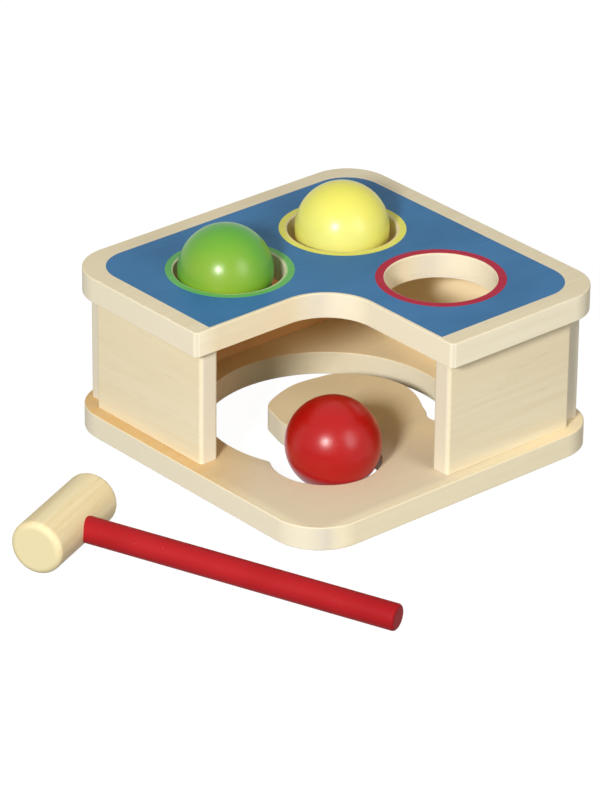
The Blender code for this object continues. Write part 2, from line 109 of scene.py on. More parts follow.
class Skin:
    """Collects the vertices, faces and corner normals of one closed surface."""

    def __init__(self) -> None:
        """Starts an empty surface."""
        self.points: list[np.ndarray] = []
        self.count: int = 0
        self.faces: list[np.ndarray] = []
        self.normals: list[np.ndarray] = []

    def add_points(self, points: np.ndarray) -> np.ndarray:
        """Adds an array of points.

        Args:
            points: coordinates in the last axis, any shape before it.

        Returns:
            The vertex numbers, in the same shape without the last axis.
        """
        flat = points.reshape(-1, 3)
        numbers = np.arange(self.count, self.count + len(flat)).reshape(points.shape[:-1])
        self.points.append(flat)
        self.count += len(flat)
        return numbers

    def add_faces(self, faces: np.ndarray, normals: np.ndarray) -> None:
        """Adds faces, turned so that they face the way their normals point.

        Args:
            faces: vertex numbers, one row for each face.
            normals: a unit normal for each corner of each face.
        """
        points = np.concatenate(self.points)
        first = points[faces[:, 1]] - points[faces[:, 0]]
        second = points[faces[:, -1]] - points[faces[:, 0]]
        facing = np.einsum("ij,ij->", np.cross(first, second), normals.sum(axis=1))
        if facing < 0:
            faces = faces[:, ::-1]
            normals = normals[:, ::-1]
        self.faces.append(faces)
        self.normals.append(normals)

    def add_grid(self, numbers: np.ndarray, normals: np.ndarray, wrap: bool = True) -> None:
        """Adds the quads between neighbouring rows and columns of a grid.

        Args:
            numbers: vertex numbers, rows by columns.
            normals: a unit normal for each of them.
            wrap: whether the last column meets the first.
        """
        if wrap:
            numbers = np.concatenate([numbers, numbers[:, :1]], axis=1)
            normals = np.concatenate([normals, normals[:, :1]], axis=1)
        corners = ((0, 0), (0, 1), (1, 1), (1, 0))
        height, width = numbers.shape[0] - 1, numbers.shape[1] - 1
        faces = [numbers[i : i + height, j : j + width].ravel() for i, j in corners]
        shades = [normals[i : i + height, j : j + width].reshape(-1, 3) for i, j in corners]
        self.add_faces(np.stack(faces, axis=1), np.stack(shades, axis=1))

    def add_upright(self, middle: Vector, reach: np.ndarray, levels: np.ndarray) -> np.ndarray:
        """Adds an upright wall whose radius may change round it.

        A vertex is the middle plus its reach times the cosine and sine of its
        angle, at its row's level. The wall is shaded as if it were round.

        Args:
            middle: a point of the wall's axis.
            reach: the radius, rows by columns.
            levels: the level of each row.

        Returns:
            The vertex numbers, rows by columns.
        """
        circle = unit_circle(reach.shape[1])
        plan = np.array(middle.xy) + reach[..., None] * circle
        height = np.broadcast_to(levels[:, None, None], (*reach.shape, 1))
        rings = self.add_points(np.concatenate([plan, height], axis=2))
        level_normals = np.pad(circle, ((0, 0), (0, 1)))
        self.add_grid(rings, np.broadcast_to(level_normals, (*reach.shape, 3)))
        return rings

    def add_pole(self, ring: np.ndarray, apex: Sequence[float], apex_normal: Sequence[float],
                 normals: np.ndarray | None = None) -> None:
        """Closes a ring with triangles to one point.

        Args:
            ring: vertex numbers round the ring.
            apex: the point that closes it.
            apex_normal: the unit normal there.
            normals: a unit normal for each ring vertex; without them the end
                is shaded flat.
        """
        top = self.add_points(np.array(apex, float).reshape(1, 3))[0]
        tip = np.broadcast_to(np.array(apex_normal, float), (len(ring), 3))
        if normals is None:
            normals = tip
        faces = np.stack([ring, np.roll(ring, -1), np.full(len(ring), top)], axis=1)
        self.add_faces(faces, np.stack([normals, np.roll(normals, -1, axis=0), tip], axis=1))

    def add_cap(self, rings: Sequence[np.ndarray], up: bool) -> None:
        """Fills a flat level face between an outer ring and the rings of its holes.

        Args:
            rings: vertex numbers round each ring, the outer one first.
            up: whether the face looks up.
        """
        points = np.concatenate(self.points)
        loops = [[Vector(points[number]) for number in ring] for ring in rings]
        numbers = np.concatenate(list(rings))
        faces = numbers[np.array(tessellate_polygon(loops), int)]
        first = points[faces[:, 1]] - points[faces[:, 0]]
        second = points[faces[:, 2]] - points[faces[:, 0]]
        turned = np.cross(first, second)[:, 2] < 0
        faces[turned] = faces[turned][:, ::-1]
        normal = np.array(Side.UP.value if up else Side.DOWN.value)
        self.add_faces(faces, np.broadcast_to(normal, (*faces.shape, 3)))

    def build(self, name: str) -> bpy.types.Object:
        """Makes the mesh object, with its own normals at every corner.

        The attribute "facing" keeps them for the materials.

        Args:
            name: the object's name.

        Returns:
            The new object, linked to the scene.
        """
        mesh = bpy.data.meshes.new(name)
        faces = [face for group in self.faces for face in group.tolist()]
        mesh.from_pydata(np.concatenate(self.points).tolist(), [], faces)
        mesh.shade_smooth()
        normals = np.concatenate([group.reshape(-1, 3) for group in self.normals])
        mesh.normals_split_custom_set(normals.tolist())
        facing = mesh.attributes.new("facing", "FLOAT_VECTOR", "CORNER")
        facing.data.foreach_set("vector", normals.astype(np.float32).ravel())
        item = bpy.data.objects.new(name, mesh)
        bpy.context.scene.collection.objects.link(item)
        return item


@dataclass(frozen=True)
class Arc:
    """Part of a circle in plan.

    Attributes:
        centre: the circle's centre.
        radius: its radius.
        start: the angle where the arc starts, in radians.
        end: the angle where it ends; it runs clockwise where that is smaller.
        solid: whether the board's material is on the centre's side.
        chord: the longest step along it.
        widest: the widest step in degrees.
    """

    centre: Pair
    radius: float
    start: float
    end: float
    solid: bool
    chord: float = 1.2 * MILLIMETRE
    widest: float = 5.0

    def sample(self) -> tuple[np.ndarray, np.ndarray]:
        """Gives the arc's points and normals.

        A point is the centre plus the radius times the cosine and sine of its
        angle, and the normal is that direction or its opposite.

        Returns:
            The points, and unit normals that point off the material.
        """
        sweep = abs(self.end - self.start)
        finest = max(sweep * self.radius / self.chord, sweep / math.radians(self.widest))
        angles = np.linspace(self.start, self.end, max(2, math.ceil(finest)) + 1)
        outward = np.stack([np.cos(angles), np.sin(angles)], axis=1)
        points = np.array(self.centre) + self.radius * outward
        return points, outward if self.solid else -outward


@dataclass(frozen=True)
class GrowingEdge:
    """The island's edge, which stands off from the slot's outer circle.

    Attributes:
        centre: the outer circle's centre.
        outer: its radius.
        narrow: the slot's width where it starts.
        wide: its greatest width.
        growth: directions in degrees, and the share of the widening there.
        start: the direction where the edge starts, in radians.
        end: the direction where it ends; it runs clockwise.
        steps: how many straight pieces it has.
    """

    centre: Pair
    outer: float
    narrow: float
    wide: float
    growth: tuple[Pair, ...]
    start: float
    end: float
    steps: int = 288

    def shares(self, places: np.ndarray) -> np.ndarray:
        """Gives the share of the widening along the way.

        Between two knots it is a cubic whose slope at each knot is that
        between the knots beside it, level at both ends and beyond them.

        Args:
            places: directions in degrees.

        Returns:
            The share at each of them.
        """
        knots, values = np.array(self.growth, float).T
        slopes = np.zeros(len(knots))
        slopes[1:-1] = (values[2:] - values[:-2]) / (knots[2:] - knots[:-2])
        i = np.clip(np.searchsorted(knots, places) - 1, 0, len(knots) - 2)
        span = knots[i + 1] - knots[i]
        t = np.clip((places - knots[i]) / span, 0, 1)
        held = (1 + 2 * t) * (1 - t) ** 2 * values[i] + t ** 2 * (3 - 2 * t) * values[i + 1]
        bent = t * (1 - t) ** 2 * slopes[i] - t ** 2 * (1 - t) * slopes[i + 1]
        return held + bent * span

    def sample(self) -> tuple[np.ndarray, np.ndarray]:
        """Gives the edge's points and normals.

        A point is the centre plus the outer radius less the width, times the
        cosine and sine of its direction. The normal is square to the curve.

        Returns:
            The points, and unit normals that point off the island.
        """
        angles = np.linspace(self.start, self.end, self.steps + 1)
        width = self.narrow + (self.wide - self.narrow) * self.shares(np.degrees(angles))
        outward = np.stack([np.cos(angles), np.sin(angles)], axis=1)
        points = np.array(self.centre) + (self.outer - width)[:, None] * outward
        along = np.gradient(points, axis=0)
        along /= np.linalg.norm(along, axis=1)[:, None]
        return points, np.stack([-along[:, 1], along[:, 0]], axis=1)


@dataclass(frozen=True)
class Loop:
    """A closed outline in plan.

    Attributes:
        points: its corners, counter-clockwise or clockwise.
        normals: a unit normal for each, which points off the material.
    """

    points: np.ndarray
    normals: np.ndarray

    @staticmethod
    def of_arcs(arcs: Sequence[Arc | GrowingEdge]) -> "Loop":
        """Joins arcs with straight lines, and drops points that repeat.

        Args:
            arcs: the arcs in order.

        Returns:
            The loop.
        """
        sampled = [arc.sample() for arc in arcs]
        points = np.concatenate([sample[0] for sample in sampled])
        normals = np.concatenate([sample[1] for sample in sampled])
        apart = np.linalg.norm(points - np.roll(points, 1, axis=0), axis=1)
        kept = apart > 0.001 * MILLIMETRE
        return Loop(points[kept], normals[kept])

    @staticmethod
    def of_circle(centre: Pair, radius: float, solid: bool) -> "Loop":
        """Gives a full circle, solid inside or outside."""
        return Loop.of_arcs([Arc(centre, radius, 0.0, FULL_TURN, solid)])

    @staticmethod
    def of_corners(corners: Sequence[Triple]) -> "Loop":
        """Rounds right-angled corners.

        A corner's arc starts square to the side that arrives and turns as far
        as the sides do; an inner corner turns clockwise, and its centre lies
        off the material.

        Args:
            corners: x, y and radius of each, listed counter-clockwise.

        Returns:
            The loop.
        """
        arcs = []
        for i, (x, y, radius) in enumerate(corners):
            before = corners[i - 1]
            after = corners[(i + 1) % len(corners)]
            arriving = math.atan2(y - before[1], x - before[0])
            turn = math.remainder(math.atan2(after[1] - y, after[0] - x) - arriving, FULL_TURN)
            side = math.copysign(1.0, turn)
            start = arriving - side * QUARTER_TURN
            centre = (
                x - radius * (math.cos(arriving) + math.cos(start)),
                y - radius * (math.sin(arriving) + math.sin(start)),
            )
            arcs.append(Arc(centre, radius, start, start + turn, side > 0))
        return Loop.of_arcs(arcs)

    @staticmethod
    def of_box(low: Vector, high: Vector, radii: Sequence[float]) -> "Loop":
        """Gives a rectangle with rounded front, right, back and left corners."""
        places = ((low.x, low.y), (high.x, low.y), (high.x, high.y), (low.x, high.y))
        return Loop.of_corners([(*place, radius) for place, radius in zip(places, radii)])

    @staticmethod
    def of_ell(low: Vector, high: Vector, cut: float, radii: Sequence[float]) -> "Loop":
        """Gives an L: a rectangle without its front quarter.

        Args:
            low: the rectangle's corner at the front.
            high: its corner at the back.
            cut: the coordinate of the two inner sides.
            radii: of the inner corner, then of the others counter-clockwise.

        Returns:
            The loop.
        """
        places = (
            (cut, cut), (cut, low.y), (high.x, low.y),
            (high.x, high.y), (low.x, high.y), (low.x, cut),
        )
        return Loop.of_corners([(*place, radius) for place, radius in zip(places, radii)])


@dataclass(frozen=True)
class Edge:
    """A board's rim.

    Attributes:
        lower: how far its lower corner is rounded.
        upper: how far its upper corner is rounded.
        steps: facets in each rounding.
    """

    lower: float
    upper: float
    steps: int = 6

    def rows(self, low: float, high: float) -> tuple[np.ndarray, np.ndarray, np.ndarray]:
        """Gives the rim's profile, from the bottom up.

        The lower corner's angle runs from a quarter turn down to level and
        the upper one's from level to a quarter turn up. The inset is the
        rounding times one minus the angle's cosine.

        Args:
            low: level of the lower corner.
            high: level of the upper corner.

        Returns:
            Insets, levels and the angles of the normals above level.
        """
        down = np.linspace(-QUARTER_TURN, 0.0, self.steps + 1)
        up = np.linspace(0.0, QUARTER_TURN, self.steps + 1)
        insets = np.concatenate([self.lower * (1 - np.cos(down)), self.upper * (1 - np.cos(up))])
        levels = np.concatenate([
            low + self.lower * (1 + np.sin(down)),
            high - self.upper * (1 - np.sin(up)),
        ])
        return insets, levels, np.concatenate([down, up])


@dataclass(frozen=True)
class Bore:
    """A drilled hole, as (radius, level) rows from its mouth inwards.

    Attributes:
        centre: its axis in plan.
        rows: radii and levels; a last radius of zero closes it.
        from_top: whether its mouth is in the board's top face.
        columns: how many facets go round.
    """

    centre: Pair
    rows: tuple[Pair, ...]
    from_top: bool
    columns: int = 32

    def carve(self, skin: Skin) -> tuple[np.ndarray, np.ndarray]:
        """Adds the hole's wall to a board.

        Each pair of rows makes a cone whose points are the centre plus the
        row's radius times the cosine and sine of the angle.

        Args:
            skin: the board's surface.

        Returns:
            The rings of vertices at the mouth and at the far end.
        """
        ring = np.pad(unit_circle(self.columns), ((0, 0), (0, 1)))
        middle = np.array([*self.centre, 0.0])
        rings = [
            skin.add_points(middle + ring * radius + [0.0, 0.0, level])
            for radius, level in self.rows if radius > 0
        ]
        for i, (radius, level) in enumerate(self.rows[:-1]):
            next_radius, next_level = self.rows[i + 1]
            slope = math.atan2(next_radius - radius, abs(next_level - level))
            lift = math.copysign(math.sin(slope), next_level - level)
            normal = -ring * math.cos(slope) + [0.0, 0.0, lift]
            if next_radius > 0:
                skin.add_grid(np.stack([rings[i], rings[i + 1]]), np.stack([normal, normal]))
            else:
                out = Side.UP.value if self.from_top else Side.DOWN.value
                skin.add_pole(rings[i], middle + [0.0, 0.0, next_level], out)
        return rings[0], rings[-1]


@dataclass(frozen=True)
class Board:
    """A flat board: an outline and openings with rounded rims, and bores.

    Attributes:
        name: the piece's name.
        low: level of its underside.
        high: level of its top face.
        outline: its outer loop and rim.
        openings: its through openings and their rims.
        bores: drilled holes, from either face or through both.
    """

    name: str
    low: float
    high: float
    outline: tuple[Loop, Edge]
    openings: tuple[tuple[Loop, Edge], ...] = ()
    bores: tuple[Bore, ...] = ()

    def rim(self, skin: Skin, loop: Loop, edge: Edge) -> tuple[np.ndarray, np.ndarray]:
        """Carries a rim's profile along a loop.

        A vertex is the loop's point less its normal times the profile's
        inset, at the profile's level. The surface normal is the loop's
        normal times the cosine of the profile's angle, with the sine upwards.

        Args:
            skin: the board's surface.
            loop: the outline or an opening.
            edge: its profile.

        Returns:
            The rings of vertices on the underside and on the top face.
        """
        insets, levels, tilts = edge.rows(self.low, self.high)
        plan = loop.points[None] - loop.normals[None] * insets[:, None, None]
        height = np.broadcast_to(levels[:, None, None], (*plan.shape[:2], 1))
        numbers = skin.add_points(np.concatenate([plan, height], axis=2))
        level_part = loop.normals[None] * np.cos(tilts)[:, None, None]
        upright = np.broadcast_to(np.sin(tilts)[:, None, None], height.shape)
        skin.add_grid(numbers, np.concatenate([level_part, upright], axis=2))
        return numbers[0], numbers[-1]

    def build(self) -> bpy.types.Object:
        """Makes the board, closed by its underside and its top face.

        Returns:
            The board's object.
        """
        skin = Skin()
        lower, upper = [], []
        for loop, edge in (self.outline, *self.openings):
            bottom, top = self.rim(skin, loop, edge)
            lower.append(bottom)
            upper.append(top)
        for bore in self.bores:
            mouth, end = bore.carve(skin)
            mouths, ends = (upper, lower) if bore.from_top else (lower, upper)
            mouths.append(mouth)
            if bore.rows[-1][0] > 0:
                ends.append(end)
        skin.add_cap(lower, up=False)
        skin.add_cap(upper, up=True)
        return skin.build(self.name)


@dataclass(frozen=True)
class Turning:
    """A surface of revolution about its own Z axis.

    Attributes:
        name: the piece's name.
        profile: its radii, its levels along the axis, and the angle of the
            normal above level, from one end to the other.
        origin: where its own frame stands.
        turn: how that frame is turned.
        columns: how many facets go round.
        tips: levels of the points that close its rounded ends; without them
            the ends are flat.
    """

    name: str
    profile: tuple[np.ndarray, np.ndarray, np.ndarray]
    origin: Vector
    turn: Matrix
    columns: int = 96
    tips: Pair | None = None

    def build(self) -> bpy.types.Object:
        """Carries the profile round the axis and closes both ends at a pole.

        A vertex is the profile's radius times the cosine and sine of the
        angle round the axis, at the profile's level.

        Returns:
            The piece's object.
        """
        radii, levels, tilts = self.profile
        turn, origin = np.array(self.turn).T, np.array(self.origin)
        circle = unit_circle(self.columns)[None]
        plan = circle * radii[:, None, None]
        height = np.broadcast_to(levels[:, None, None], (*plan.shape[:2], 1))
        outward = circle * np.cos(tilts)[:, None, None]
        upward = np.broadcast_to(np.sin(tilts)[:, None, None], height.shape)
        normals = np.concatenate([outward, upward], axis=2) @ turn
        skin = Skin()
        numbers = skin.add_points(np.concatenate([plan, height], axis=2) @ turn + origin)
        skin.add_grid(numbers, normals)
        for row, tip in zip((0, -1), self.tips or (levels[0], levels[-1])):
            out = math.copysign(1.0, math.sin(tilts[row]))
            apex = np.array([0.0, 0.0, tip]) @ turn + origin
            facing = np.array([0.0, 0.0, out]) @ turn
            skin.add_pole(numbers[row], apex, facing, normals[row] if self.tips else None)
        return skin.build(self.name)


def rounded_rod(radius: float, low: float, high: float, low_edge: float,
                high_edge: float, steps: int = 8) -> tuple[np.ndarray, np.ndarray, np.ndarray]:
    """Gives a rod's profile: its radius less an edge's inset at each rounded end."""
    insets, levels, tilts = Edge(low_edge, high_edge, steps).rows(low, high)
    return radius - insets, levels, tilts


@dataclass(frozen=True)
class Pattern:
    """A noise pattern.

    Attributes:
        scale: how often it changes in a metre, with the grain along X.
        detail: how many finer copies lie on it.
        roughness: how strong these are.
    """

    scale: Triple
    detail: float = 2.0
    roughness: float = 0.5


GROWTH = Pattern((1.6, 21.0, 21.0))
STREAKS = Pattern((11.0, 240.0, 240.0), 4.0, 0.6)
FLECKS = Pattern((75.0, 1150.0, 1150.0))
FIBRES = Pattern((120.0, 3400.0, 3400.0), 3.0, 0.6)
PATCHES = Pattern((6.0, 19.0, 19.0))
CLOUDS = Pattern((60.0, 60.0, 60.0), 3.0)
PEEL = Pattern((620.0, 620.0, 620.0))
DUST = Pattern((1700.0, 1700.0, 1700.0), 0.0)
BRUSHING = Pattern((40.0, 900.0, 900.0), 3.0)
THIN_PAINT = Pattern((18.0, 30.0, 30.0))
NICKS = Pattern((500.0, 1100.0, 1100.0), 1.0)
WAVER = Pattern((90.0, 90.0, 90.0))
SPANGLE = Pattern((2400.0, 2400.0, 2400.0))
FLOW = Pattern((700.0, 700.0, 700.0))

STILL = (0.0, 0.0, 0.0)
NOISE_LOW = 0.3
NOISE_HIGH = 0.7
GROWTH_RINGS = 95.0
FACE_ON = 0.96
PAINTED_LIGHT_SHARE = 0.85


def add_node(tree: bpy.types.NodeTree, kind: str, inputs: dict[str | int, object],
             output: str | int = 0, **settings: object) -> Socket:
    """Adds a node to a tree.

    Args:
        tree: the material's or the world's tree.
        kind: the node's type.
        inputs: what its sockets get, by name or number: another node's
            output, a number, a vector or a colour.
        output: the output that is wanted, by name or number.
        settings: the node's own settings.

    Returns:
        That output.
    """
    node = tree.nodes.new(kind)
    for name, setting in settings.items():
        setattr(node, name, setting)
    for name, value in inputs.items():
        if isinstance(value, Socket):
            tree.links.new(value, node.inputs[name])
        else:
            node.inputs[name].default_value = value
    return node.outputs[output]


def shaded(colour: Triple, share: float | Triple) -> Triple:
    """Gives a colour times a share, or times one for each of its parts."""
    return tuple(np.multiply(colour, share).tolist())


class Recipe:
    """A material's node tree, with short calls for the nodes that finishes need."""

    def __init__(self, name: str) -> None:
        """Makes an empty Principled material.

        Args:
            name: the material's name.
        """
        self.material = bpy.data.materials.new(name)
        self.material.use_nodes = True
        self.tree = self.material.node_tree
        self.coordinates = add_node(self.tree, "ShaderNodeTexCoord", {}, "Object")

    def finished(self, **sockets: object) -> bpy.types.Material:
        """Feeds the shader's sockets.

        Args:
            sockets: an output or a number for each socket, named with
                underscores for spaces.

        Returns:
            The finished material.
        """
        shader = self.tree.nodes["Principled BSDF"]
        for name, value in sockets.items():
            socket = shader.inputs[name.replace("_", " ")]
            if isinstance(value, Socket):
                self.tree.links.new(value, socket)
            else:
                socket.default_value = value
        return self.material

    def mapped(self, turn: Triple, scale: Triple, shift: Triple = STILL) -> Socket:
        """Turns and moves, then stretches object coordinates, in two mappings.

        Args:
            turn: the rotation.
            scale: the stretch along each axis, after the rotation.
            shift: the move, before the stretch.

        Returns:
            The mapped coordinates.
        """
        inputs = {"Vector": self.coordinates, "Rotation": turn, "Location": shift}
        turned = add_node(self.tree, "ShaderNodeMapping", inputs)
        return add_node(self.tree, "ShaderNodeMapping", {"Vector": turned, "Scale": scale})

    def noise(self, pattern: Pattern, turn: Triple = STILL, shift: Triple = STILL) -> Socket:
        """Adds a noise pattern.

        Args:
            pattern: the pattern.
            turn: the rotation that brings the grain onto X.
            shift: how far it is moved after that.

        Returns:
            Its value.
        """
        return add_node(self.tree, "ShaderNodeTexNoise", {
            "Vector": self.mapped(turn, pattern.scale, shift),
            "Scale": 1.0,
            "Detail": pattern.detail,
            "Roughness": pattern.roughness,
        })

    def math(self, operation: str, *values: Socket | float) -> Socket:
        """Does one sum with values, each an output or a number."""
        return add_node(
            self.tree, "ShaderNodeMath", dict(enumerate(values)), operation=operation
        )

    def contours(self, value: Socket, count: float) -> Socket:
        """Draws a smooth field's contour lines: the sine of the field times a count."""
        wave = self.math("SINE", self.math("MULTIPLY", value, count))
        return self.spread(wave, -1.0, 1.0)

    def along(self, vector: Socket, direction: Triple) -> Socket:
        """Gives how far a vector reaches in a direction."""
        inputs = {0: vector, 1: direction}
        return add_node(
            self.tree, "ShaderNodeVectorMath", inputs, "Value", operation="DOT_PRODUCT"
        )

    def facing(self, direction: Triple) -> Socket:
        """Gives the cosine between the surface's own normal and a direction."""
        normal = add_node(
            self.tree, "ShaderNodeAttribute", {}, "Vector", attribute_name="facing"
        )
        return self.along(normal, direction)

    def inwards(self) -> Socket:
        """Gives the larger of the distances along X and Y from the middle, made negative.

        Returns:
            A value that grows from the square rim inwards.
        """
        sides = (Side.RIGHT_BACK, Side.LEFT_BACK)
        reaches = [self.math("ABSOLUTE", self.along(self.coordinates, s.value)) for s in sides]
        return self.math("MULTIPLY", self.math("MAXIMUM", *reaches), -1.0)

    def from_axis(self, centre: Pair) -> Socket:
        """Gives the distance from an upright axis."""
        level = self.mapped(STILL, (1.0, 1.0, 0.0), (-centre[0], -centre[1], 0.0))
        return add_node(
            self.tree, "ShaderNodeVectorMath", {0: level}, "Value", operation="LENGTH"
        )

    def spread(self, value: Socket, low: float, high: float, to_low: float = 0.0,
               to_high: float = 1.0) -> Socket:
        """Maps a value's range onto another, and clamps it there."""
        numbers = (value, low, high, to_low, to_high)
        return add_node(self.tree, "ShaderNodeMapRange", dict(enumerate(numbers)))

    def spread_noise(self, value: Socket, to_low: float = 0.0, to_high: float = 1.0) -> Socket:
        """Maps a noise's usual range onto another."""
        return self.spread(value, NOISE_LOW, NOISE_HIGH, to_low, to_high)

    def mix(self, amount: Socket, first: Socket | Triple, second: Socket | Triple) -> Socket:
        """Mixes two colours.

        Args:
            amount: how much of the second shows.
            first: an output or a colour.
            second: an output or a colour.

        Returns:
            The mixed colour.
        """
        node = self.tree.nodes.new("ShaderNodeMix")
        node.data_type = "RGBA"
        self.tree.links.new(amount, node.inputs["Factor"])
        sockets = [socket for socket in node.inputs if socket.type == "RGBA"]
        for socket, colour in zip(sockets, (first, second)):
            if isinstance(colour, Socket):
                self.tree.links.new(colour, socket)
            else:
                socket.default_value = (*colour, 1.0)
        return next(out for out in node.outputs if out.type == "RGBA")

    def layered(self, colour: Socket | Triple, layers: Sequence[tuple]) -> Socket:
        """Lays tones over a colour, one after another.

        Args:
            colour: the first colour.
            layers: for each tone, the value that it follows, the value where
                it starts and the one where it is full, how much it then
                covers, and the tone.

        Returns:
            The colour under them all.
        """
        for value, start, full, share, tone in layers:
            colour = self.mix(self.spread(value, start, full, 0.0, share), colour, tone)
        return colour

    def bump(self, height: Socket, distance: float, below: Socket | None = None) -> Socket:
        """Adds a bump.

        Args:
            height: the value that it follows.
            distance: how high it stands.
            below: a bump that it lies on.

        Returns:
            The bumped normal.
        """
        inputs = {"Height": height, "Distance": distance, "Strength": 1.0}
        if below is not None:
            inputs["Normal"] = below
        return add_node(self.tree, "ShaderNodeBump", inputs)


@dataclass(frozen=True)
class PaintedLightSide:
    """A side painted in a tone of its own that stands in for light or shade: darker for painted
    shade, paler for painted light.

    Attributes:
        faces: the direction that it looks in.
        tone: the painted colour of that light or shade.
        towards: the direction in which it starts; without one it starts
            inwards from the board's square rim.
        start: how far that way the tone starts.
        stop: how far that way it is full.
        grazing: the cosine to its direction below which none shows.
    """

    faces: Side
    tone: Triple
    towards: Side | None = None
    start: float = -0.3
    stop: float = -0.2
    grazing: float = 0.6

    def share(self, recipe: Recipe) -> Socket:
        """Gives how much of the tone shows.

        Args:
            recipe: the material's recipe.

        Returns:
            The share of the tone.
        """
        seen = recipe.spread(recipe.facing(self.faces.value), self.grazing, FACE_ON)
        if self.towards is None:
            reach = recipe.inwards()
        else:
            reach = recipe.along(recipe.coordinates, self.towards.value)
        there = recipe.spread(reach, self.start, self.stop, 0.0, PAINTED_LIGHT_SHARE)
        return recipe.math("MULTIPLY", seen, there)


@dataclass(frozen=True)
class WoodFinish:
    """Clear-varnished pale hardwood: a faint figure, streaks, flecks and pores.

    Attributes:
        name: the material's name.
        pale: colour of the early wood.
        dark: colour of the figure and the streaks.
        end: colour of the faces cut across the grain.
        turn: rotation that brings the grain onto X.
        cut: where in the log the piece was cut, after the turn.
        figure: how strongly the growth figure shows.
        fleck: how strongly the short dark flecks show.
        painted_light: its sides painted darker for shade or paler for light.
    """

    name: str
    pale: Triple
    dark: Triple
    end: Triple = (0.800, 0.725, 0.545)
    turn: Triple = STILL
    cut: Triple = (0.0, 0.110, 0.240)
    figure: float = 0.30
    fleck: float = 0.30
    painted_light: tuple[PaintedLightSide, ...] = ()

    def material(self) -> bpy.types.Material:
        """Builds the finish from object coordinates.

        Returns:
            The material.
        """
        recipe = Recipe(self.name)
        growth, streaks, flecks, fibres, patches = (
            recipe.noise(pattern, self.turn, self.cut)
            for pattern in (GROWTH, STREAKS, FLECKS, FIBRES, PATCHES)
        )
        brown = shaded(self.dark, 0.66)
        colour = recipe.layered(self.pale, (
            (recipe.contours(growth, GROWTH_RINGS), 0.35, 1.0, self.figure, self.dark),
            (streaks, 0.42, 0.72, 0.55, self.dark),
            (patches, 0.40, 0.70, 0.80, shaded(self.pale, (0.97, 0.93, 0.87))),
            (flecks, 0.64, 0.78, self.fleck, brown),
            (fibres, 0.60, 0.75, 0.12, brown),
        ))
        # Painted light and shade: tones laid over the wood on chosen sides.
        for side in self.painted_light:
            tone = recipe.layered(side.tone, ((streaks, 0.42, 0.75, 0.30, self.dark),))
            colour = recipe.mix(side.share(recipe), colour, tone)
        grain = Euler(self.turn).to_matrix().inverted() @ Vector(Side.RIGHT_BACK.value)
        across = recipe.layered(self.end, ((fibres, 0.45, 0.75, 0.10, self.dark),))
        cut_across = recipe.spread(recipe.math("ABSOLUTE", recipe.facing(grain)), 0.55, 0.95)
        return recipe.finished(
            Base_Color=recipe.mix(cut_across, colour, across),
            Roughness=recipe.spread_noise(fibres, 0.44, 0.58),
            Normal=recipe.bump(streaks, 40 * MICROMETRE, recipe.bump(fibres, 20 * MICROMETRE)),
            Specular_IOR_Level=0.20,
        )


@dataclass(frozen=True)
class LacquerFinish:
    """Soft-gloss lacquer on a turned ball, with painted light: one colour on the side towards the
    lamps, another on the far side.

    Attributes:
        name: the material's name.
        colour: on the side that the painted light comes from.
        deep: on the far side, in the painted shade.
        centre: the ball's centre.
        radius: the ball's radius.
        painted_light_direction: the direction that the painted light comes from.
    """

    name: str
    colour: Triple
    deep: Triple
    centre: Triple
    radius: float
    painted_light_direction: Triple = (-0.70, -0.62, -0.10)

    def material(self) -> bpy.types.Material:
        """Builds the finish from object coordinates.

        Returns:
            The material.
        """
        recipe = Recipe(self.name)
        clouds, peel, dust = (recipe.noise(pattern) for pattern in (CLOUDS, PEEL, DUST))
        from_centre = recipe.mapped(STILL, (1.0, 1.0, 1.0), shaded(self.centre, -1.0))
        # Painted light: the colour changes across the ball with the direction towards the lamps.
        side = recipe.along(from_centre, self.painted_light_direction)
        reach = recipe.spread(side, -0.15 * self.radius, 0.95 * self.radius)
        painted_light_colour = recipe.mix(reach, self.deep, self.colour)
        specks = recipe.spread(dust, 0.78, 0.86)
        return recipe.finished(
            Base_Color=recipe.layered(
                painted_light_colour, ((clouds, 0.45, 0.75, 0.35, shaded(self.deep, 0.93)),)
            ),
            Roughness=recipe.spread_noise(clouds, 0.27, 0.34),
            Normal=recipe.bump(specks, 20 * MICROMETRE, recipe.bump(peel, 30 * MICROMETRE)),
            Specular_IOR_Level=0.38,
        )


@dataclass(frozen=True)
class PaintFinish:
    """Satin paint on wood, through which the grain just tells.

    Attributes:
        name: the material's name.
        colour: the paint's colour.
        turn: rotation that brings the wood's grain onto X.
        roughness: of the dry film.
        chips: how much bare wood shows in tiny nicks.
        gloss: how much the film mirrors.
    """

    name: str
    colour: Triple
    turn: Triple = STILL
    roughness: float = 0.42
    chips: float = 0.0
    gloss: float = 0.10

    def material(self) -> bpy.types.Material:
        """Builds the finish from object coordinates.

        Returns:
            The material.
        """
        recipe = Recipe(self.name)
        brushing, thin, nicks = (
            recipe.noise(pattern, self.turn) for pattern in (BRUSHING, THIN_PAINT, NICKS)
        )
        deep = shaded(self.colour, 0.88)
        light = tuple(min(1.0, 1.06 * part + 0.004) for part in self.colour)
        return recipe.finished(
            Base_Color=recipe.layered(light, (
                (thin, 0.35, 0.70, 1.0, deep),
                (brushing, 0.55, 0.80, 0.35, deep),
                (nicks, 0.80, 0.84, self.chips, (0.80, 0.42, 0.34)),
            )),
            Roughness=recipe.spread_noise(
                brushing, self.roughness - 0.05, self.roughness + 0.06
            ),
            Normal=recipe.bump(brushing, 20 * MICROMETRE),
            Specular_IOR_Level=self.gloss,
        )


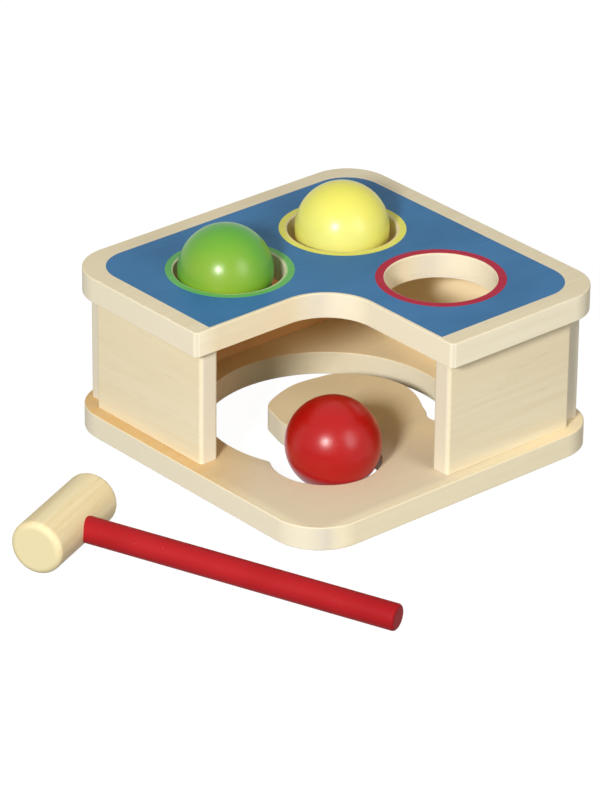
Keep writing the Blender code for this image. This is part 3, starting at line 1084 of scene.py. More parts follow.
@dataclass(frozen=True)
class RingFinish:
    """Satin paint round a hole, thin and pale where it nears the rim.

    Attributes:
        name: the material's name.
        colour: the paint's colour.
        worn: its colour next to the rim.
        centre: of the print, along X and Y.
        worn_radius: out to which it is worn.
    """

    name: str
    colour: Triple
    worn: Triple
    centre: Pair
    worn_radius: float

    def material(self) -> bpy.types.Material:
        """Builds the finish from object coordinates.

        Returns:
            The material.
        """
        recipe = Recipe(self.name)
        brushing, waver = recipe.noise(BRUSHING), recipe.noise(WAVER)
        paint = recipe.layered(
            self.colour, ((brushing, 0.45, 0.80, 0.60, shaded(self.colour, 0.88)),)
        )
        sway = recipe.spread_noise(waver, -0.2 * MILLIMETRE, 0.2 * MILLIMETRE)
        full = recipe.spread(
            recipe.math("ADD", recipe.from_axis(self.centre), sway),
            self.worn_radius - 0.3 * MILLIMETRE, self.worn_radius + 0.4 * MILLIMETRE,
        )
        return recipe.finished(
            Base_Color=recipe.mix(full, self.worn, paint),
            Roughness=recipe.spread_noise(brushing, 0.37, 0.48),
            Normal=recipe.bump(brushing, 20 * MICROMETRE),
            Specular_IOR_Level=0.10,
        )


@dataclass(frozen=True)
class SteelFinish:
    """Zinc-plated steel with a fine spangle.

    Attributes:
        name: the material's name.
        colour: the plating's colour.
    """

    name: str
    colour: Triple

    def material(self) -> bpy.types.Material:
        """Builds the finish from object coordinates.

        Returns:
            The material.
        """
        recipe = Recipe(self.name)
        spangle = recipe.noise(SPANGLE)
        return recipe.finished(
            Base_Color=recipe.mix(
                recipe.spread_noise(spangle), self.colour, shaded(self.colour, 0.8)
            ),
            Roughness=recipe.spread_noise(spangle, 0.25, 0.42),
            Normal=recipe.bump(spangle, 10 * MICROMETRE),
            Metallic=1.0,
        )


@dataclass(frozen=True)
class ElasticFinish:
    """Clear elastic line: nearly unseen, with soft flow marks.

    Attributes:
        name: the material's name.
    """

    name: str

    def material(self) -> bpy.types.Material:
        """Builds the finish from object coordinates.

        Returns:
            The material.
        """
        recipe = Recipe(self.name)
        flow = recipe.noise(FLOW)
        return recipe.finished(
            Base_Color=recipe.mix(
                recipe.spread_noise(flow), (0.96, 0.96, 0.94), (0.90, 0.91, 0.90)
            ),
            Normal=recipe.bump(flow, 10 * MICROMETRE),
            Roughness=0.15,
            Specular_IOR_Level=0.1,
            Alpha=0.08,
        )


def dress(piece: bpy.types.Object, material: bpy.types.Material, body: Body,
          node: str | None = None) -> None:
    """Gives a piece its material and its body, and hides the CAD node that it stands for.

    Args:
        piece: the finished piece.
        material: its finish.
        body: the body that it rides on.
        node: the CAD node that it stands for.
    """
    piece.data.materials.append(material)
    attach(piece, body.value)
    if node is not None:
        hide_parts(node)
    log.info("%s: %d faces, rides on %s", piece.name, len(piece.data.polygons), body.value)


def middle_of(node: str) -> Vector:
    """Gives the middle of a CAD node's box."""
    low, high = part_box(node)
    return (low + high) / 2


def half_of(node: str) -> Vector:
    """Gives half the size of a CAD node's box."""
    low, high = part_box(node)
    return (high - low) / 2


PALE = (0.822, 0.727, 0.512)
PALE_STREAK = (0.760, 0.634, 0.405)
WALL_END = (0.725, 0.660, 0.505)
# Painted shade: a warm, saturated tone that stands in for the shade and warm bounce light inside
# the hall.
WARM_PAINTED_SHADE = (0.93, 0.74, 0.44)
# Painted shade: a greyer, darker tone for faces turned to the front, towards the camera and the
# lamps.
FRONT_PAINTED_SHADE = (0.62, 0.575, 0.475)


@dataclass
class BaseBoard:
    """The base board, with the widening ball slot and the seat.

    Attributes:
        front_radius: of the open front corner.
        left_radius: of the left corner.
        corner_radius: of the other two corners.
        rounding: of its upper rims.
        under_rounding: of its lower rims.
        track_shift: how far the slot's outer circle is moved aside.
        track_direction: the direction of that move, in degrees.
        slot_radius: of the circle that bounds the slot outside.
        narrow_width: of the slot where it starts.
        wide_width: of the slot at its widest.
        end_direction: where the slot starts, in degrees.
        seat_offset: the seat's centre from the middle, along X and Y.
        seat_radius: of the ball's seat.
        cusp_radius: of the fillet between the slot and the seat outside.
        tip_radius: of the fillet between the island and the seat.
        growth: directions in degrees, and the share of the widening there.
    """

    front_radius: float = 0.0285
    left_radius: float = 0.0263
    corner_radius: float = 0.025
    rounding: float = 0.0007
    under_rounding: float = 0.0005
    track_shift: float = 0.0022
    track_direction: float = 125.0
    slot_radius: float = math.hypot(0.03875, 0.03875) + 0.0114
    narrow_width: float = 0.0150
    wide_width: float = 0.0371
    end_direction: float = -45.4
    seat_offset: float = 0.03875
    seat_radius: float = 0.0288
    cusp_radius: float = 0.0030
    tip_radius: float = 0.0050
    growth: tuple[Pair, ...] = (
        (-46, 0), (-34, 0.09), (-5, 0.10), (20, 0.27), (45, 0.44), (60, 0.64),
        (80, 0.775), (105, 0.88), (135, 0.865), (153, 0.98), (170, 1),
    )

    @staticmethod
    def meeting(first: Pair, first_radius: float, second: Pair, second_radius: float) -> Pair:
        """Gives where two circles cross, on the right of the line between them.

        Args:
            first: the first circle's centre.
            first_radius: its radius.
            second: the second circle's centre.
            second_radius: its radius.

        Returns:
            The crossing.
        """
        apart = math.dist(first, second)
        along = (apart ** 2 + first_radius ** 2 - second_radius ** 2) / (2 * apart)
        across = math.sqrt(first_radius ** 2 - along ** 2)
        heading = math.atan2(second[1] - first[1], second[0] - first[0])
        return (
            first[0] + along * math.cos(heading) + across * math.sin(heading),
            first[1] + along * math.sin(heading) - across * math.cos(heading),
        )

    def opening(self) -> Loop:
        """Gives the slot and seat as one loop.

        The outer circle, a fillet, the seat and a second fillet touch each
        other. The island's edge leads back to the slot's round start.

        Returns:
            The loop, with the board outside it.
        """
        end_angle = math.radians(self.end_direction)
        shift = math.radians(self.track_direction)
        track = (self.track_shift * math.cos(shift), self.track_shift * math.sin(shift))
        seat = (-self.seat_offset, -self.seat_offset)
        island_radius = self.slot_radius - self.wide_width
        end_radius = self.narrow_width / 2
        reach = self.slot_radius - end_radius
        end = (track[0] + reach * math.cos(end_angle), track[1] + reach * math.sin(end_angle))
        cusp = self.meeting(
            track, self.slot_radius + self.cusp_radius, seat, self.seat_radius + self.cusp_radius
        )
        tip = self.meeting(
            track, island_radius - self.tip_radius, seat, self.seat_radius + self.tip_radius
        )

        def heading(start: Pair, stop: Pair) -> float:
            """Gives the direction from one point to another."""
            return math.atan2(stop[1] - start[1], stop[0] - start[0])

        def swept(start: float, stop: float, clockwise: bool) -> float:
            """Gives the stop angle, turned on until it lies past the start."""
            sweep = (stop - start) % FULL_TURN
            return start + sweep - FULL_TURN if clockwise else start + sweep

        def arc(centre: Pair, radius: float, start: float, stop: float, solid: bool) -> Arc:
            """Gives an arc that runs clockwise where the board is on its inside."""
            return Arc(centre, radius, start, swept(start, stop, solid), solid)

        island_start = swept(end_angle, heading(track, tip), False)
        return Loop.of_arcs([
            arc(track, self.slot_radius, end_angle, heading(track, cusp), False),
            arc(cusp, self.cusp_radius, heading(cusp, track), heading(cusp, seat), True),
            arc(seat, self.seat_radius, heading(seat, cusp), heading(seat, tip), False),
            arc(tip, self.tip_radius, heading(tip, seat), island_start, True),
            GrowingEdge(
                track, self.slot_radius, self.narrow_width, self.wide_width, self.growth,
                island_start, end_angle,
            ),
            arc(end, end_radius, end_angle + math.pi, end_angle, False),
        ])

    def build(self, fasteners: "Fasteners") -> None:
        """Makes the board with its countersunk screw holes.

        Args:
            fasteners: the screws whose holes it has.
        """
        low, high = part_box("base_board")
        radii = (self.front_radius, self.corner_radius, self.corner_radius, self.left_radius)
        edge = Edge(self.under_rounding, self.rounding)
        board = Board(
            "base_board_wood", low.z, high.z,
            (Loop.of_box(low, high, radii), edge), ((self.opening(), edge),),
            tuple(fasteners.base_bore(number, high.z) for number in fasteners.numbers),
        )
        finish = WoodFinish(
            "base_board_maple", PALE, PALE_STREAK, turn=Grain.ALONG_X.value,
            cut=(0.0, 0.05, 0.16), figure=0.4, fleck=0.5,
            painted_light=(
                # Painted shade: the top face darker and browner inwards from its rim, under the
                # walls and the top board.
                PaintedLightSide(Side.UP, (0.68, 0.575, 0.400), None, -0.0968, -0.0925),
                # Painted shade: a warmer tone on the top face towards the back, for the warm light
                # inside the hall.
                PaintedLightSide(Side.UP, (0.93, 0.76, 0.47), Side.BACK, -0.052, -0.018),
                # Painted shadow: deep brown on the top face towards the left, where the front left
                # panel shades the hall.
                PaintedLightSide(Side.UP, (0.70, 0.43, 0.15), Side.LEFT, 0.030, 0.065),
                # Painted shade: a browner tone on faces that look right, the slot's far wall
                # inside the hall.
                PaintedLightSide(Side.RIGHT, (0.84, 0.54, 0.25), None, -0.090, -0.085),
                # Painted shade: greyer and darker near the rim on faces that look to the front.
                PaintedLightSide(Side.FRONT, FRONT_PAINTED_SHADE, None, -0.075, -0.085, 0.73),
                # Painted light: paler near the rim on faces that look along -Y, which the key lamp
                # lights little.
                PaintedLightSide(Side.RIGHT_FRONT, (0.870, 0.775, 0.545), None, -0.085, -0.095, 0.85),
            ),
        )
        dress(board.build(), finish.material(), Body.BENCH, "base_board")


@dataclass
class TopBoard:
    """The L-shaped top board with its three holes and its printed colours.

    Attributes:
        corner_radius: of its left and back corners.
        right_radius: of its right corner.
        arm_radius: of the arms' front corners.
        fillet_radius: of the inner corner.
        cut: the coordinate of the two cut edges.
        rounding: of its outer rims.
        hole_radius: of the ball holes.
        hole_offset: of their centres from the middle, along X and Y.
        hole_rounding: of the holes' upper rims.
        hole_under_rounding: of the lower rims.
        field_margin: of bare wood between the blue field and the outer rims.
        field_corner_radius: of the field's outer corners.
        field_cut: the coordinate of the field's two inner sides.
        field_fillet_radius: of the field's inner corner.
        field_point: rounding of the field's arms' corners.
        film: how far the field's paint stands up.
        ring_films: how many times as far the rings' paint stands up.
        overlap: how far the rings lie over the field.
    """

    corner_radius: float = 0.025
    right_radius: float = 0.0232
    arm_radius: float = 0.0028
    fillet_radius: float = 0.0285
    cut: float = -0.0085
    rounding: float = 0.0007
    hole_radius: float = 0.0289
    hole_offset: float = 0.03875
    hole_rounding: float = 0.0007
    hole_under_rounding: float = 0.0005
    field_margin: float = 0.0101
    field_corner_radius: float = 0.0205
    field_cut: float = -0.0068
    field_fillet_radius: float = 0.0305
    field_point: float = 0.0004
    film: float = 0.00006
    ring_films: float = 1.5
    overlap: float = 0.0003

    @property
    def soft(self) -> Edge:
        """Gives the edge of the printed films."""
        return Edge(0.0, self.film / 2, 2)

    def hole_centre(self, side: tuple[int, int]) -> Pair:
        """Gives the centre of the hole in one quarter of the board."""
        return (side[0] * self.hole_offset, side[1] * self.hole_offset)

    def build_wood(self, fasteners: "Fasteners") -> None:
        """Makes the board itself.

        Args:
            fasteners: the dowels whose holes it has.
        """
        low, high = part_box("top_board")
        outline = Loop.of_ell(low, high, self.cut, (
            self.fillet_radius, self.arm_radius, self.right_radius, self.corner_radius,
            self.corner_radius, self.arm_radius,
        ))
        hole_edge = Edge(self.hole_under_rounding, self.hole_rounding)
        holes = tuple(
            (Loop.of_circle(self.hole_centre(ring.side), self.hole_radius, False), hole_edge)
            for ring in RINGS
        )
        board = Board(
            "top_board_wood", low.z, high.z,
            (outline, Edge(self.hole_under_rounding, self.rounding)), holes,
            tuple(fasteners.dowel_bore(number, low.z, True) for number in fasteners.numbers),
        )
        finish = WoodFinish(
            "top_board_maple", PALE, PALE_STREAK, turn=Grain.ALONG_X.value,
            cut=(0.0, 0.09, 0.20),
            painted_light=(
                # Painted shade: the warm tone of the hall's inside on every face that looks down.
                PaintedLightSide(Side.DOWN, WARM_PAINTED_SHADE),
                # Painted shade: greyer and darker on faces that look to the front.
                PaintedLightSide(Side.FRONT, FRONT_PAINTED_SHADE, grazing=0.73),
                # Painted light: paler near the rim on faces that look along -Y.
                PaintedLightSide(Side.RIGHT_FRONT, (0.90, 0.82, 0.62), None, -0.085, -0.095, 0.85),
            ),
        )
        dress(board.build(), finish.material(), Body.BENCH, "top_board")

    def build_field(self) -> None:
        """Prints the blue field as a thin film that leaves a bare margin."""
        low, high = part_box("top_board")
        bare = Vector((self.field_margin, self.field_margin, 0.0))
        corner = self.field_corner_radius
        outline = Loop.of_ell(low + bare, high - bare, self.field_cut, (
            self.field_fillet_radius, self.field_point, corner, corner, corner, self.field_point
        ))
        holes = tuple(
            (Loop.of_circle(ring.centre(self), ring.outer_radius - self.overlap, False), self.soft)
            for ring in RINGS
        )
        field = Board(
            "blue_field", high.z - self.film, high.z + self.film, (outline, self.soft), holes
        )
        finish = PaintFinish("blue_print", (0.040, 0.172, 0.362))
        dress(field.build(), finish.material(), Body.BENCH)

    def build_ring(self, ring: "PaintedRing") -> None:
        """Prints a coloured ring round a hole.

        Args:
            ring: its colour and measures.
        """
        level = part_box("top_board")[1].z
        rim = self.hole_radius + self.hole_rounding
        piece = Board(
            f"{ring.name}_ring", level - self.film, level + self.ring_films * self.film,
            (Loop.of_circle(ring.centre(self), ring.outer_radius, True), self.soft),
            ((Loop.of_circle(self.hole_centre(ring.side), rim, False), self.soft),),
        )
        finish = RingFinish(
            f"{ring.name}_print", ring.colour, ring.worn, ring.centre(self), ring.worn_radius
        )
        dress(piece.build(), finish.material(), Body.BENCH)

    def build(self, fasteners: "Fasteners") -> None:
        """Makes the board, its blue field and its three rings.

        Args:
            fasteners: the dowels whose holes it has.
        """
        self.build_wood(fasteners)
        self.build_field()
        for ring in RINGS:
            self.build_ring(ring)


@dataclass(frozen=True)
class PaintedRing:
    """A ring printed round one hole, a little off its centre as prints are.

    Attributes:
        name: the ring's colour.
        side: the quarter of the board that its hole is in.
        colour: the paint's colour.
        outer_radius: of the paint.
        worn: the paint's colour next to the rim.
        worn_radius: out to which it is worn.
        drift: how far the print is off the hole's centre, along X and Y.
    """

    name: str
    side: tuple[int, int]
    colour: Triple
    outer_radius: float
    worn: Triple
    worn_radius: float
    drift: Pair = (0.0, 0.0)

    def centre(self, board: TopBoard) -> Pair:
        """Gives the print's centre on a board."""
        middle = board.hole_centre(self.side)
        return (middle[0] + self.drift[0], middle[1] + self.drift[1])


RINGS = (
    PaintedRing(
        "green", (-1, 1), (0.14, 0.46, 0.115), 0.0336, (0.42, 0.60, 0.26), 0.0301,
        (0.0003, -0.0003),
    ),
    PaintedRing(
        "yellow", (1, 1), (0.80, 0.77, 0.14), 0.0336, (0.84, 0.70, 0.30), 0.0302,
        (0.0002, -0.0001),
    ),
    PaintedRing("red", (1, -1), (0.44, 0.010, 0.040), 0.0340, (0.50, 0.05, 0.07), 0.0298),
)


@dataclass
class Walls:
    """The four upright walls between the two boards.

    Attributes:
        upright_rounding: of their upright edges.
        level_rounding: of their level edges.
    """

    upright_rounding: float = 0.0022
    level_rounding: float = 0.0004

    def build(self, fasteners: "Fasteners") -> None:
        """Makes each wall in the place of its CAD node.

        Args:
            fasteners: the dowels and screws whose holes they have.
        """
        # Each wall's inner face, which looks into the hall, gets painted shade: a warmer, darker
        # tone for the shade and warm light inside.
        walls = (
            ("front_left_panel", Grain.ALONG_Y, (0.0, 0.07, 0.19), (
                PaintedLightSide(Side.RIGHT_BACK, WARM_PAINTED_SHADE),
            )),
            ("front_right_panel", Grain.ALONG_X, (0.0, 0.13, 0.11), (
                PaintedLightSide(Side.LEFT_BACK, WARM_PAINTED_SHADE),
            )),
            ("back_left_wall", Grain.ALONG_X, (0.0, -0.05, 0.15), (
                PaintedLightSide(Side.RIGHT_FRONT, (0.93, 0.48, 0.17)),
                # Painted shadow: near black-brown on the back left wall's inner face towards the
                # left, where the front left panel shades it.
                PaintedLightSide(Side.RIGHT_FRONT, (0.32, 0.10, 0.015), Side.LEFT, 0.045, 0.095),
            )),
            ("back_right_wall", Grain.ALONG_Y, (0.0, 0.03, 0.23), (
                PaintedLightSide(Side.LEFT_FRONT, (0.95, 0.78, 0.48)),
            )),
        )
        base_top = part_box("base_board")[1].z
        top_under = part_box("top_board")[0].z
        edge = Edge(self.level_rounding, self.level_rounding, 3)
        for place, (node, grain, cut, painted_light) in enumerate(walls):
            outline = Loop.of_box(*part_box(node), (self.upright_rounding,) * 4)
            own = fasteners.numbers[2 * place : 2 * place + 2]
            bores = [fasteners.screw_bore(number, base_top) for number in own]
            bores += [fasteners.dowel_bore(number, top_under, False) for number in own]
            board = Board(f"{node}_wood", base_top, top_under, (outline, edge), (), tuple(bores))
            finish = WoodFinish(
                f"{node}_maple", PALE, PALE_STREAK, WALL_END, grain.value, cut, painted_light=painted_light
            )
            dress(board.build(), finish.material(), Body.BENCH, node)


@dataclass
class Fasteners:
    """The hidden dowels and screws, and the holes that hold them.

    Attributes:
        fit: clearance of a fastener in its hole.
        dowel_chamfer: at both ends of a dowel.
        flutes: glue grooves round a dowel.
        flute_depth: of these grooves.
        head_radius: of a screw's countersunk head.
        head_depth: how deep its cone goes.
        head_rim: height of its upright rim.
        shank_radius: over the thread.
        core_radius: under the thread.
        pitch: of the thread.
        tip_length: over which the thread tapers to its tip.
        tip_share: how much of its radius is left there.
        thread_rows: rows of facets in a turn of the thread.
        columns: how many facets go round a screw.
        cross_arm: of the cross recess, from the screw's axis.
        cross_half: half the width of its arms.
        cross_depth: how deep it goes.
        cross_taper: how much of its size is left at its floor.
        numbers: of the dowels, and of the screws.
    """

    fit: float = 0.0003
    dowel_chamfer: float = 0.0008
    flutes: int = 16
    flute_depth: float = 0.00022
    head_radius: float = 0.0035
    head_depth: float = 0.0022
    head_rim: float = 0.0004
    shank_radius: float = 0.00175
    core_radius: float = 0.00120
    pitch: float = 0.0014
    tip_length: float = 0.004
    tip_share: float = 0.12
    thread_rows: int = 8
    columns: int = 24
    cross_arm: float = 0.0020
    cross_half: float = 0.00045
    cross_depth: float = 0.0014
    cross_taper: float = 0.6
    numbers: tuple[int, ...] = (1, 2, 3, 4, 5, 6, 7, 8)

    def base_bore(self, number: int, top: float) -> Bore:
        """Gives a screw's countersunk hole through the base board.

        Args:
            number: the screw's number.
            top: level of the board's top face.

        Returns:
            The hole.
        """
        node = f"base_screw_{number}"
        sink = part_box(node)[0].z
        mouth = self.head_radius + self.fit
        shank = self.shank_radius + self.fit
        rows = (
            (mouth, 0.0),
            (mouth, sink + self.head_rim),
            (shank, sink + self.head_depth),
            (shank, top),
        )
        return Bore(tuple(middle_of(node).xy), rows, from_top=False)

    def blind_bore(self, node: str, radius: float, level: float, upwards: bool) -> Bore:
        """Gives the blind hole for one end of a fastener.

        Args:
            node: the fastener's CAD node.
            radius: its radius.
            level: of the hole's mouth.
            upwards: whether the hole goes up from there.

        Returns:
            The hole.
        """
        low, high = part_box(node)
        end = high.z + self.fit if upwards else low.z - self.fit
        wide = radius + self.fit
        rows = ((wide, level), (wide, end), (0.0, end))
        return Bore(tuple(middle_of(node).xy), rows, from_top=not upwards)

    def screw_bore(self, number: int, level: float) -> Bore:
        """Gives a screw's hole in a wall's lower edge, at a level."""
        return self.blind_bore(f"base_screw_{number}", self.shank_radius, level, True)

    def dowel_bore(self, number: int, level: float, upwards: bool) -> Bore:
        """Gives a dowel's hole, up into the top board or down into a wall."""
        node = f"wall_dowel_{number}"
        return self.blind_bore(node, half_of(node).x, level, upwards)

    def build_dowel(self, number: int, material: bpy.types.Material) -> None:
        """Makes a fluted dowel.

        The radius is the dowel's less a flute depth times one minus the
        absolute sine of half the flute count times the angle, and its ends
        are plain.

        Args:
            number: the dowel's number.
            material: its finish.
        """
        node = f"wall_dowel_{number}"
        low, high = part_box(node)
        middle, radius, chamfer = middle_of(node), half_of(node).x, self.dowel_chamfer
        levels = np.array([low.z, low.z + chamfer, high.z - chamfer, high.z])
        radii = np.array([radius - chamfer, radius, radius, radius - chamfer])
        grooved = np.array([0.0, 1.0, 1.0, 0.0])
        columns = 6 * self.flutes
        around = np.arange(columns) * FULL_TURN / columns
        groove = 1 - np.abs(np.sin(around * self.flutes / 2))
        reach = radii[:, None] - self.flute_depth * grooved[:, None] * groove[None]
        skin = Skin()
        rings = skin.add_upright(middle, reach, levels)
        for row, side in ((0, Side.DOWN), (-1, Side.UP)):
            skin.add_pole(rings[row], (*middle.xy, levels[row]), side.value)
        dress(skin.build(f"{node}_fluted"), material, Body.BENCH, node)

    def add_recess(self, skin: Skin, middle: Vector, level: float) -> np.ndarray:
        """Adds the cross recess of a screw: its walls, which taper, and its floor.

        Args:
            skin: the screw's surface.
            middle: a point of its axis.
            level: of the head's face.

        Returns:
            The ring of vertices at the recess's mouth.
        """
        arm, half = self.cross_arm, self.cross_half
        cross = np.array([
            (arm, -half), (arm, half), (half, half), (half, arm), (-half, arm), (-half, half),
            (-arm, half), (-arm, -half), (-half, -half), (-half, -arm), (half, -arm),
            (half, -half),
        ])
        plan = np.stack([cross, cross * self.cross_taper]) + np.array(middle.xy)
        height = np.broadcast_to(
            np.array([level, level + self.cross_depth])[:, None, None], (*plan.shape[:2], 1)
        )
        recess = skin.add_points(np.concatenate([plan, height], axis=2))
        for i in range(len(cross)):
            after = (i + 1) % len(cross)
            run = cross[after] - cross[i]
            side = np.array([-run[1], run[0], 0.0]) / np.linalg.norm(run)
            skin.add_grid(recess[:, [i, after]], np.broadcast_to(side, (2, 2, 3)), wrap=False)
        skin.add_cap([recess[1]], up=False)
        return recess[0]

    def build_screw(self, number: int, material: bpy.types.Material) -> None:
        """Makes a countersunk screw with a thread and a cross recess.

        The shank's radius is the core's plus the thread's depth times a
        triangle wave of the level in pitches less the angle in turns.

        Args:
            number: the screw's number.
            material: its finish.
        """
        node = f"base_screw_{number}"
        low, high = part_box(node)
        middle = middle_of(node)
        neck = low.z + self.head_depth
        start = neck + 2 * self.pitch
        rows = int((high.z - start) / self.pitch * self.thread_rows)
        threaded = np.linspace(start, high.z, rows)
        share = np.arange(self.columns) / self.columns
        turns = (threaded[:, None] - start) / self.pitch - share[None]
        wave = 1 - 2 * np.abs(turns % 1.0 - 0.5)
        grown = np.clip((threaded - start) / self.pitch, 0, 1)[:, None]
        taper = np.clip((high.z - threaded) / self.tip_length, self.tip_share, 1)[:, None]
        thread = self.core_radius + (self.shank_radius - self.core_radius) * wave * grown
        head_levels = [low.z, low.z + self.head_rim, neck, start - self.pitch]
        head_radii = np.array([self.head_radius] * 2 + [self.core_radius] * 2)
        head = np.broadcast_to(head_radii[:, None], (len(head_radii), self.columns))
        levels = np.concatenate([head_levels, threaded])
        skin = Skin()
        rings = skin.add_upright(middle, np.concatenate([head, thread * taper]), levels)
        skin.add_pole(rings[-1], (*middle.xy, levels[-1]), Side.UP.value)
        mouth = self.add_recess(skin, middle, low.z)
        skin.add_cap([rings[0], mouth], up=False)
        dress(skin.build(f"{node}_plated"), material, Body.BENCH, node)

    def build(self) -> None:
        """Makes every dowel and screw."""
        beech = WoodFinish(
            "dowel_beech", (0.70, 0.54, 0.36), (0.60, 0.42, 0.26), (0.66, 0.50, 0.33),
            (0.0, QUARTER_TURN, 0.0),
        ).material()
        zinc = SteelFinish("zinc_plate", (0.62, 0.62, 0.60)).material()
        for number in self.numbers:
            self.build_dowel(number, beech)
            self.build_screw(number, zinc)


@dataclass
class ElasticLines:
    """The clear lines that hold each ball in its hole until it is struck.

    Attributes:
        columns: how many facets go round a line.
        heading: their direction in plan, in degrees.
    """

    columns: int = 16
    heading: float = -45.0

    def build(self) -> None:
        """Makes each line in the place of its CAD node.

        The node's box is as wide as the line's reach and its flat end are in
        plan, so the reach is what is left of the half width without the end,
        over the cosine of the line's heading.
        """
        slant = math.radians(self.heading)
        along = Matrix.Rotation(slant, 3, "Z") @ Matrix.Rotation(QUARTER_TURN, 3, "Y")
        clear = ElasticFinish("clear_elastic").material()
        for colour in ("green", "yellow", "red"):
            for side in ("front", "back"):
                node = f"{colour}_hole_{side}_line"
                half = half_of(node)
                reach = (half.x - half.z * abs(math.sin(slant))) / math.cos(slant)
                profile = rounded_rod(half.z, -reach, reach, half.z / 4, half.z / 4, 2)
                line = Turning(f"{node}_clear", profile, middle_of(node), along, self.columns)
                dress(line.build(), clear, Body.BENCH, node)


@dataclass
class Balls:
    """The three lacquered balls.

    Attributes:
        rows: how many facets a ball has from pole to pole.
        columns: how many go round it.
    """

    rows: int = 64
    columns: int = 128

    def build_ball(self, body: Body, colour: Triple, deep: Triple) -> None:
        """Makes one ball in the place of its CAD node.

        A vertex is the centre plus the radius times a unit vector, whose
        height is the sine of the latitude.

        Args:
            body: the body that it is; its node has the same name.
            colour: on the side that the painted light comes from.
            deep: on the far side, in the painted shade.
        """
        node = body.value
        centre, radius = middle_of(node), half_of(node).z
        latitudes = np.linspace(-QUARTER_TURN, QUARTER_TURN, self.rows + 1)[1:-1]
        ball = Turning(
            f"{node}_lacquered",
            (radius * np.cos(latitudes), radius * np.sin(latitudes), latitudes),
            centre, Matrix.Identity(3), self.columns, (-radius, radius),
        )
        finish = LacquerFinish(f"{node}_gloss", colour, deep, tuple(centre), radius)
        dress(ball.build(), finish.material(), body, node)

    def build(self) -> None:
        """Makes the green, the yellow and the red ball."""
        # Painted light: each ball's first colour shows on the side towards the lamps, the second
        # on the far side.
        self.build_ball(Body.GREEN_BALL, (0.225, 0.355, 0.026), (0.070, 0.375, 0.026))
        self.build_ball(Body.YELLOW_BALL, (0.70, 0.67, 0.190), (0.86, 0.80, 0.085))
        self.build_ball(Body.RED_BALL, (0.355, 0.002, 0.002), (0.43, 0.002, 0.002))


@dataclass
class Hammer:
    """The hammer: a turned head and a painted handle.

    Attributes:
        head_radius: of the head.
        head_length: along the head's axis.
        head_edge: rounding of its ends.
        handle_radius: of the handle.
        handle_reach: from the head's axis to the handle's end.
        handle_embed: how far the handle passes the head's axis.
        handle_edge: rounding of the handle's end.
        place_x: the head's middle, along X.
        place_y: the head's middle, along Y.
        heading: the handle's direction in plan, in degrees.
    """

    head_radius: float = 0.0143
    head_length: float = 0.0624
    head_edge: float = 0.0036
    handle_radius: float = 0.0070
    handle_reach: float = 0.1845
    handle_embed: float = 0.0050
    handle_edge: float = 0.0018
    place_x: float = -0.1859
    place_y: float = -0.0091
    heading: float = -66.65

    def pose(self) -> Matrix:
        """Gives the turn that brings the handle's axis from X to its place.

        The handle tilts until its end touches the floor. The tilt's sine is
        the head's radius less the handle's radius times the tilt's cosine,
        over the handle's reach, and a few rounds settle it.

        Returns:
            The turn.
        """
        touching = self.handle_reach - self.handle_edge
        tilt = 0.0
        for _ in range(4):
            drop = self.head_radius - self.handle_radius * math.cos(tilt)
            tilt = math.asin(drop / touching)
        turn = Matrix.Rotation(math.radians(self.heading), 3, "Z")
        return turn @ Matrix.Rotation(tilt, 3, "Y")

    def build(self) -> None:
        """Makes the head and the handle."""
        origin = Vector((self.place_x, self.place_y, self.head_radius))
        pose, heading = self.pose(), math.radians(self.heading)
        half = self.head_length / 2
        head = Turning(
            "hammer_head_wood",
            rounded_rod(self.head_radius, -half, half, self.head_edge, self.head_edge, 10),
            origin, pose @ Matrix.Rotation(QUARTER_TURN, 3, "X"),
        )
        beech = WoodFinish(
            "head_beech", (0.80, 0.68, 0.41), (0.70, 0.53, 0.26), (0.70, 0.61, 0.355),
            (0.0, 0.0, -heading - QUARTER_TURN), (0.0, 0.19, 0.010), fleck=0.4,
        )
        dress(head.build(), beech.material(), Body.HAMMER, "hammer_head")
        handle = Turning(
            "hammer_handle_painted",
            rounded_rod(
                self.handle_radius, -self.handle_embed, self.handle_reach,
                self.handle_edge / 4, self.handle_edge,
            ),
            origin, pose @ Matrix.Rotation(QUARTER_TURN, 3, "Y"),
        )
        paint = PaintFinish(
            "handle_red", (0.378, 0.012, 0.015), (0.0, 0.0, -heading), 0.46, chips=0.4, gloss=0.05
        )
        dress(handle.build(), paint.material(), Body.HAMMER, "hammer_handle")


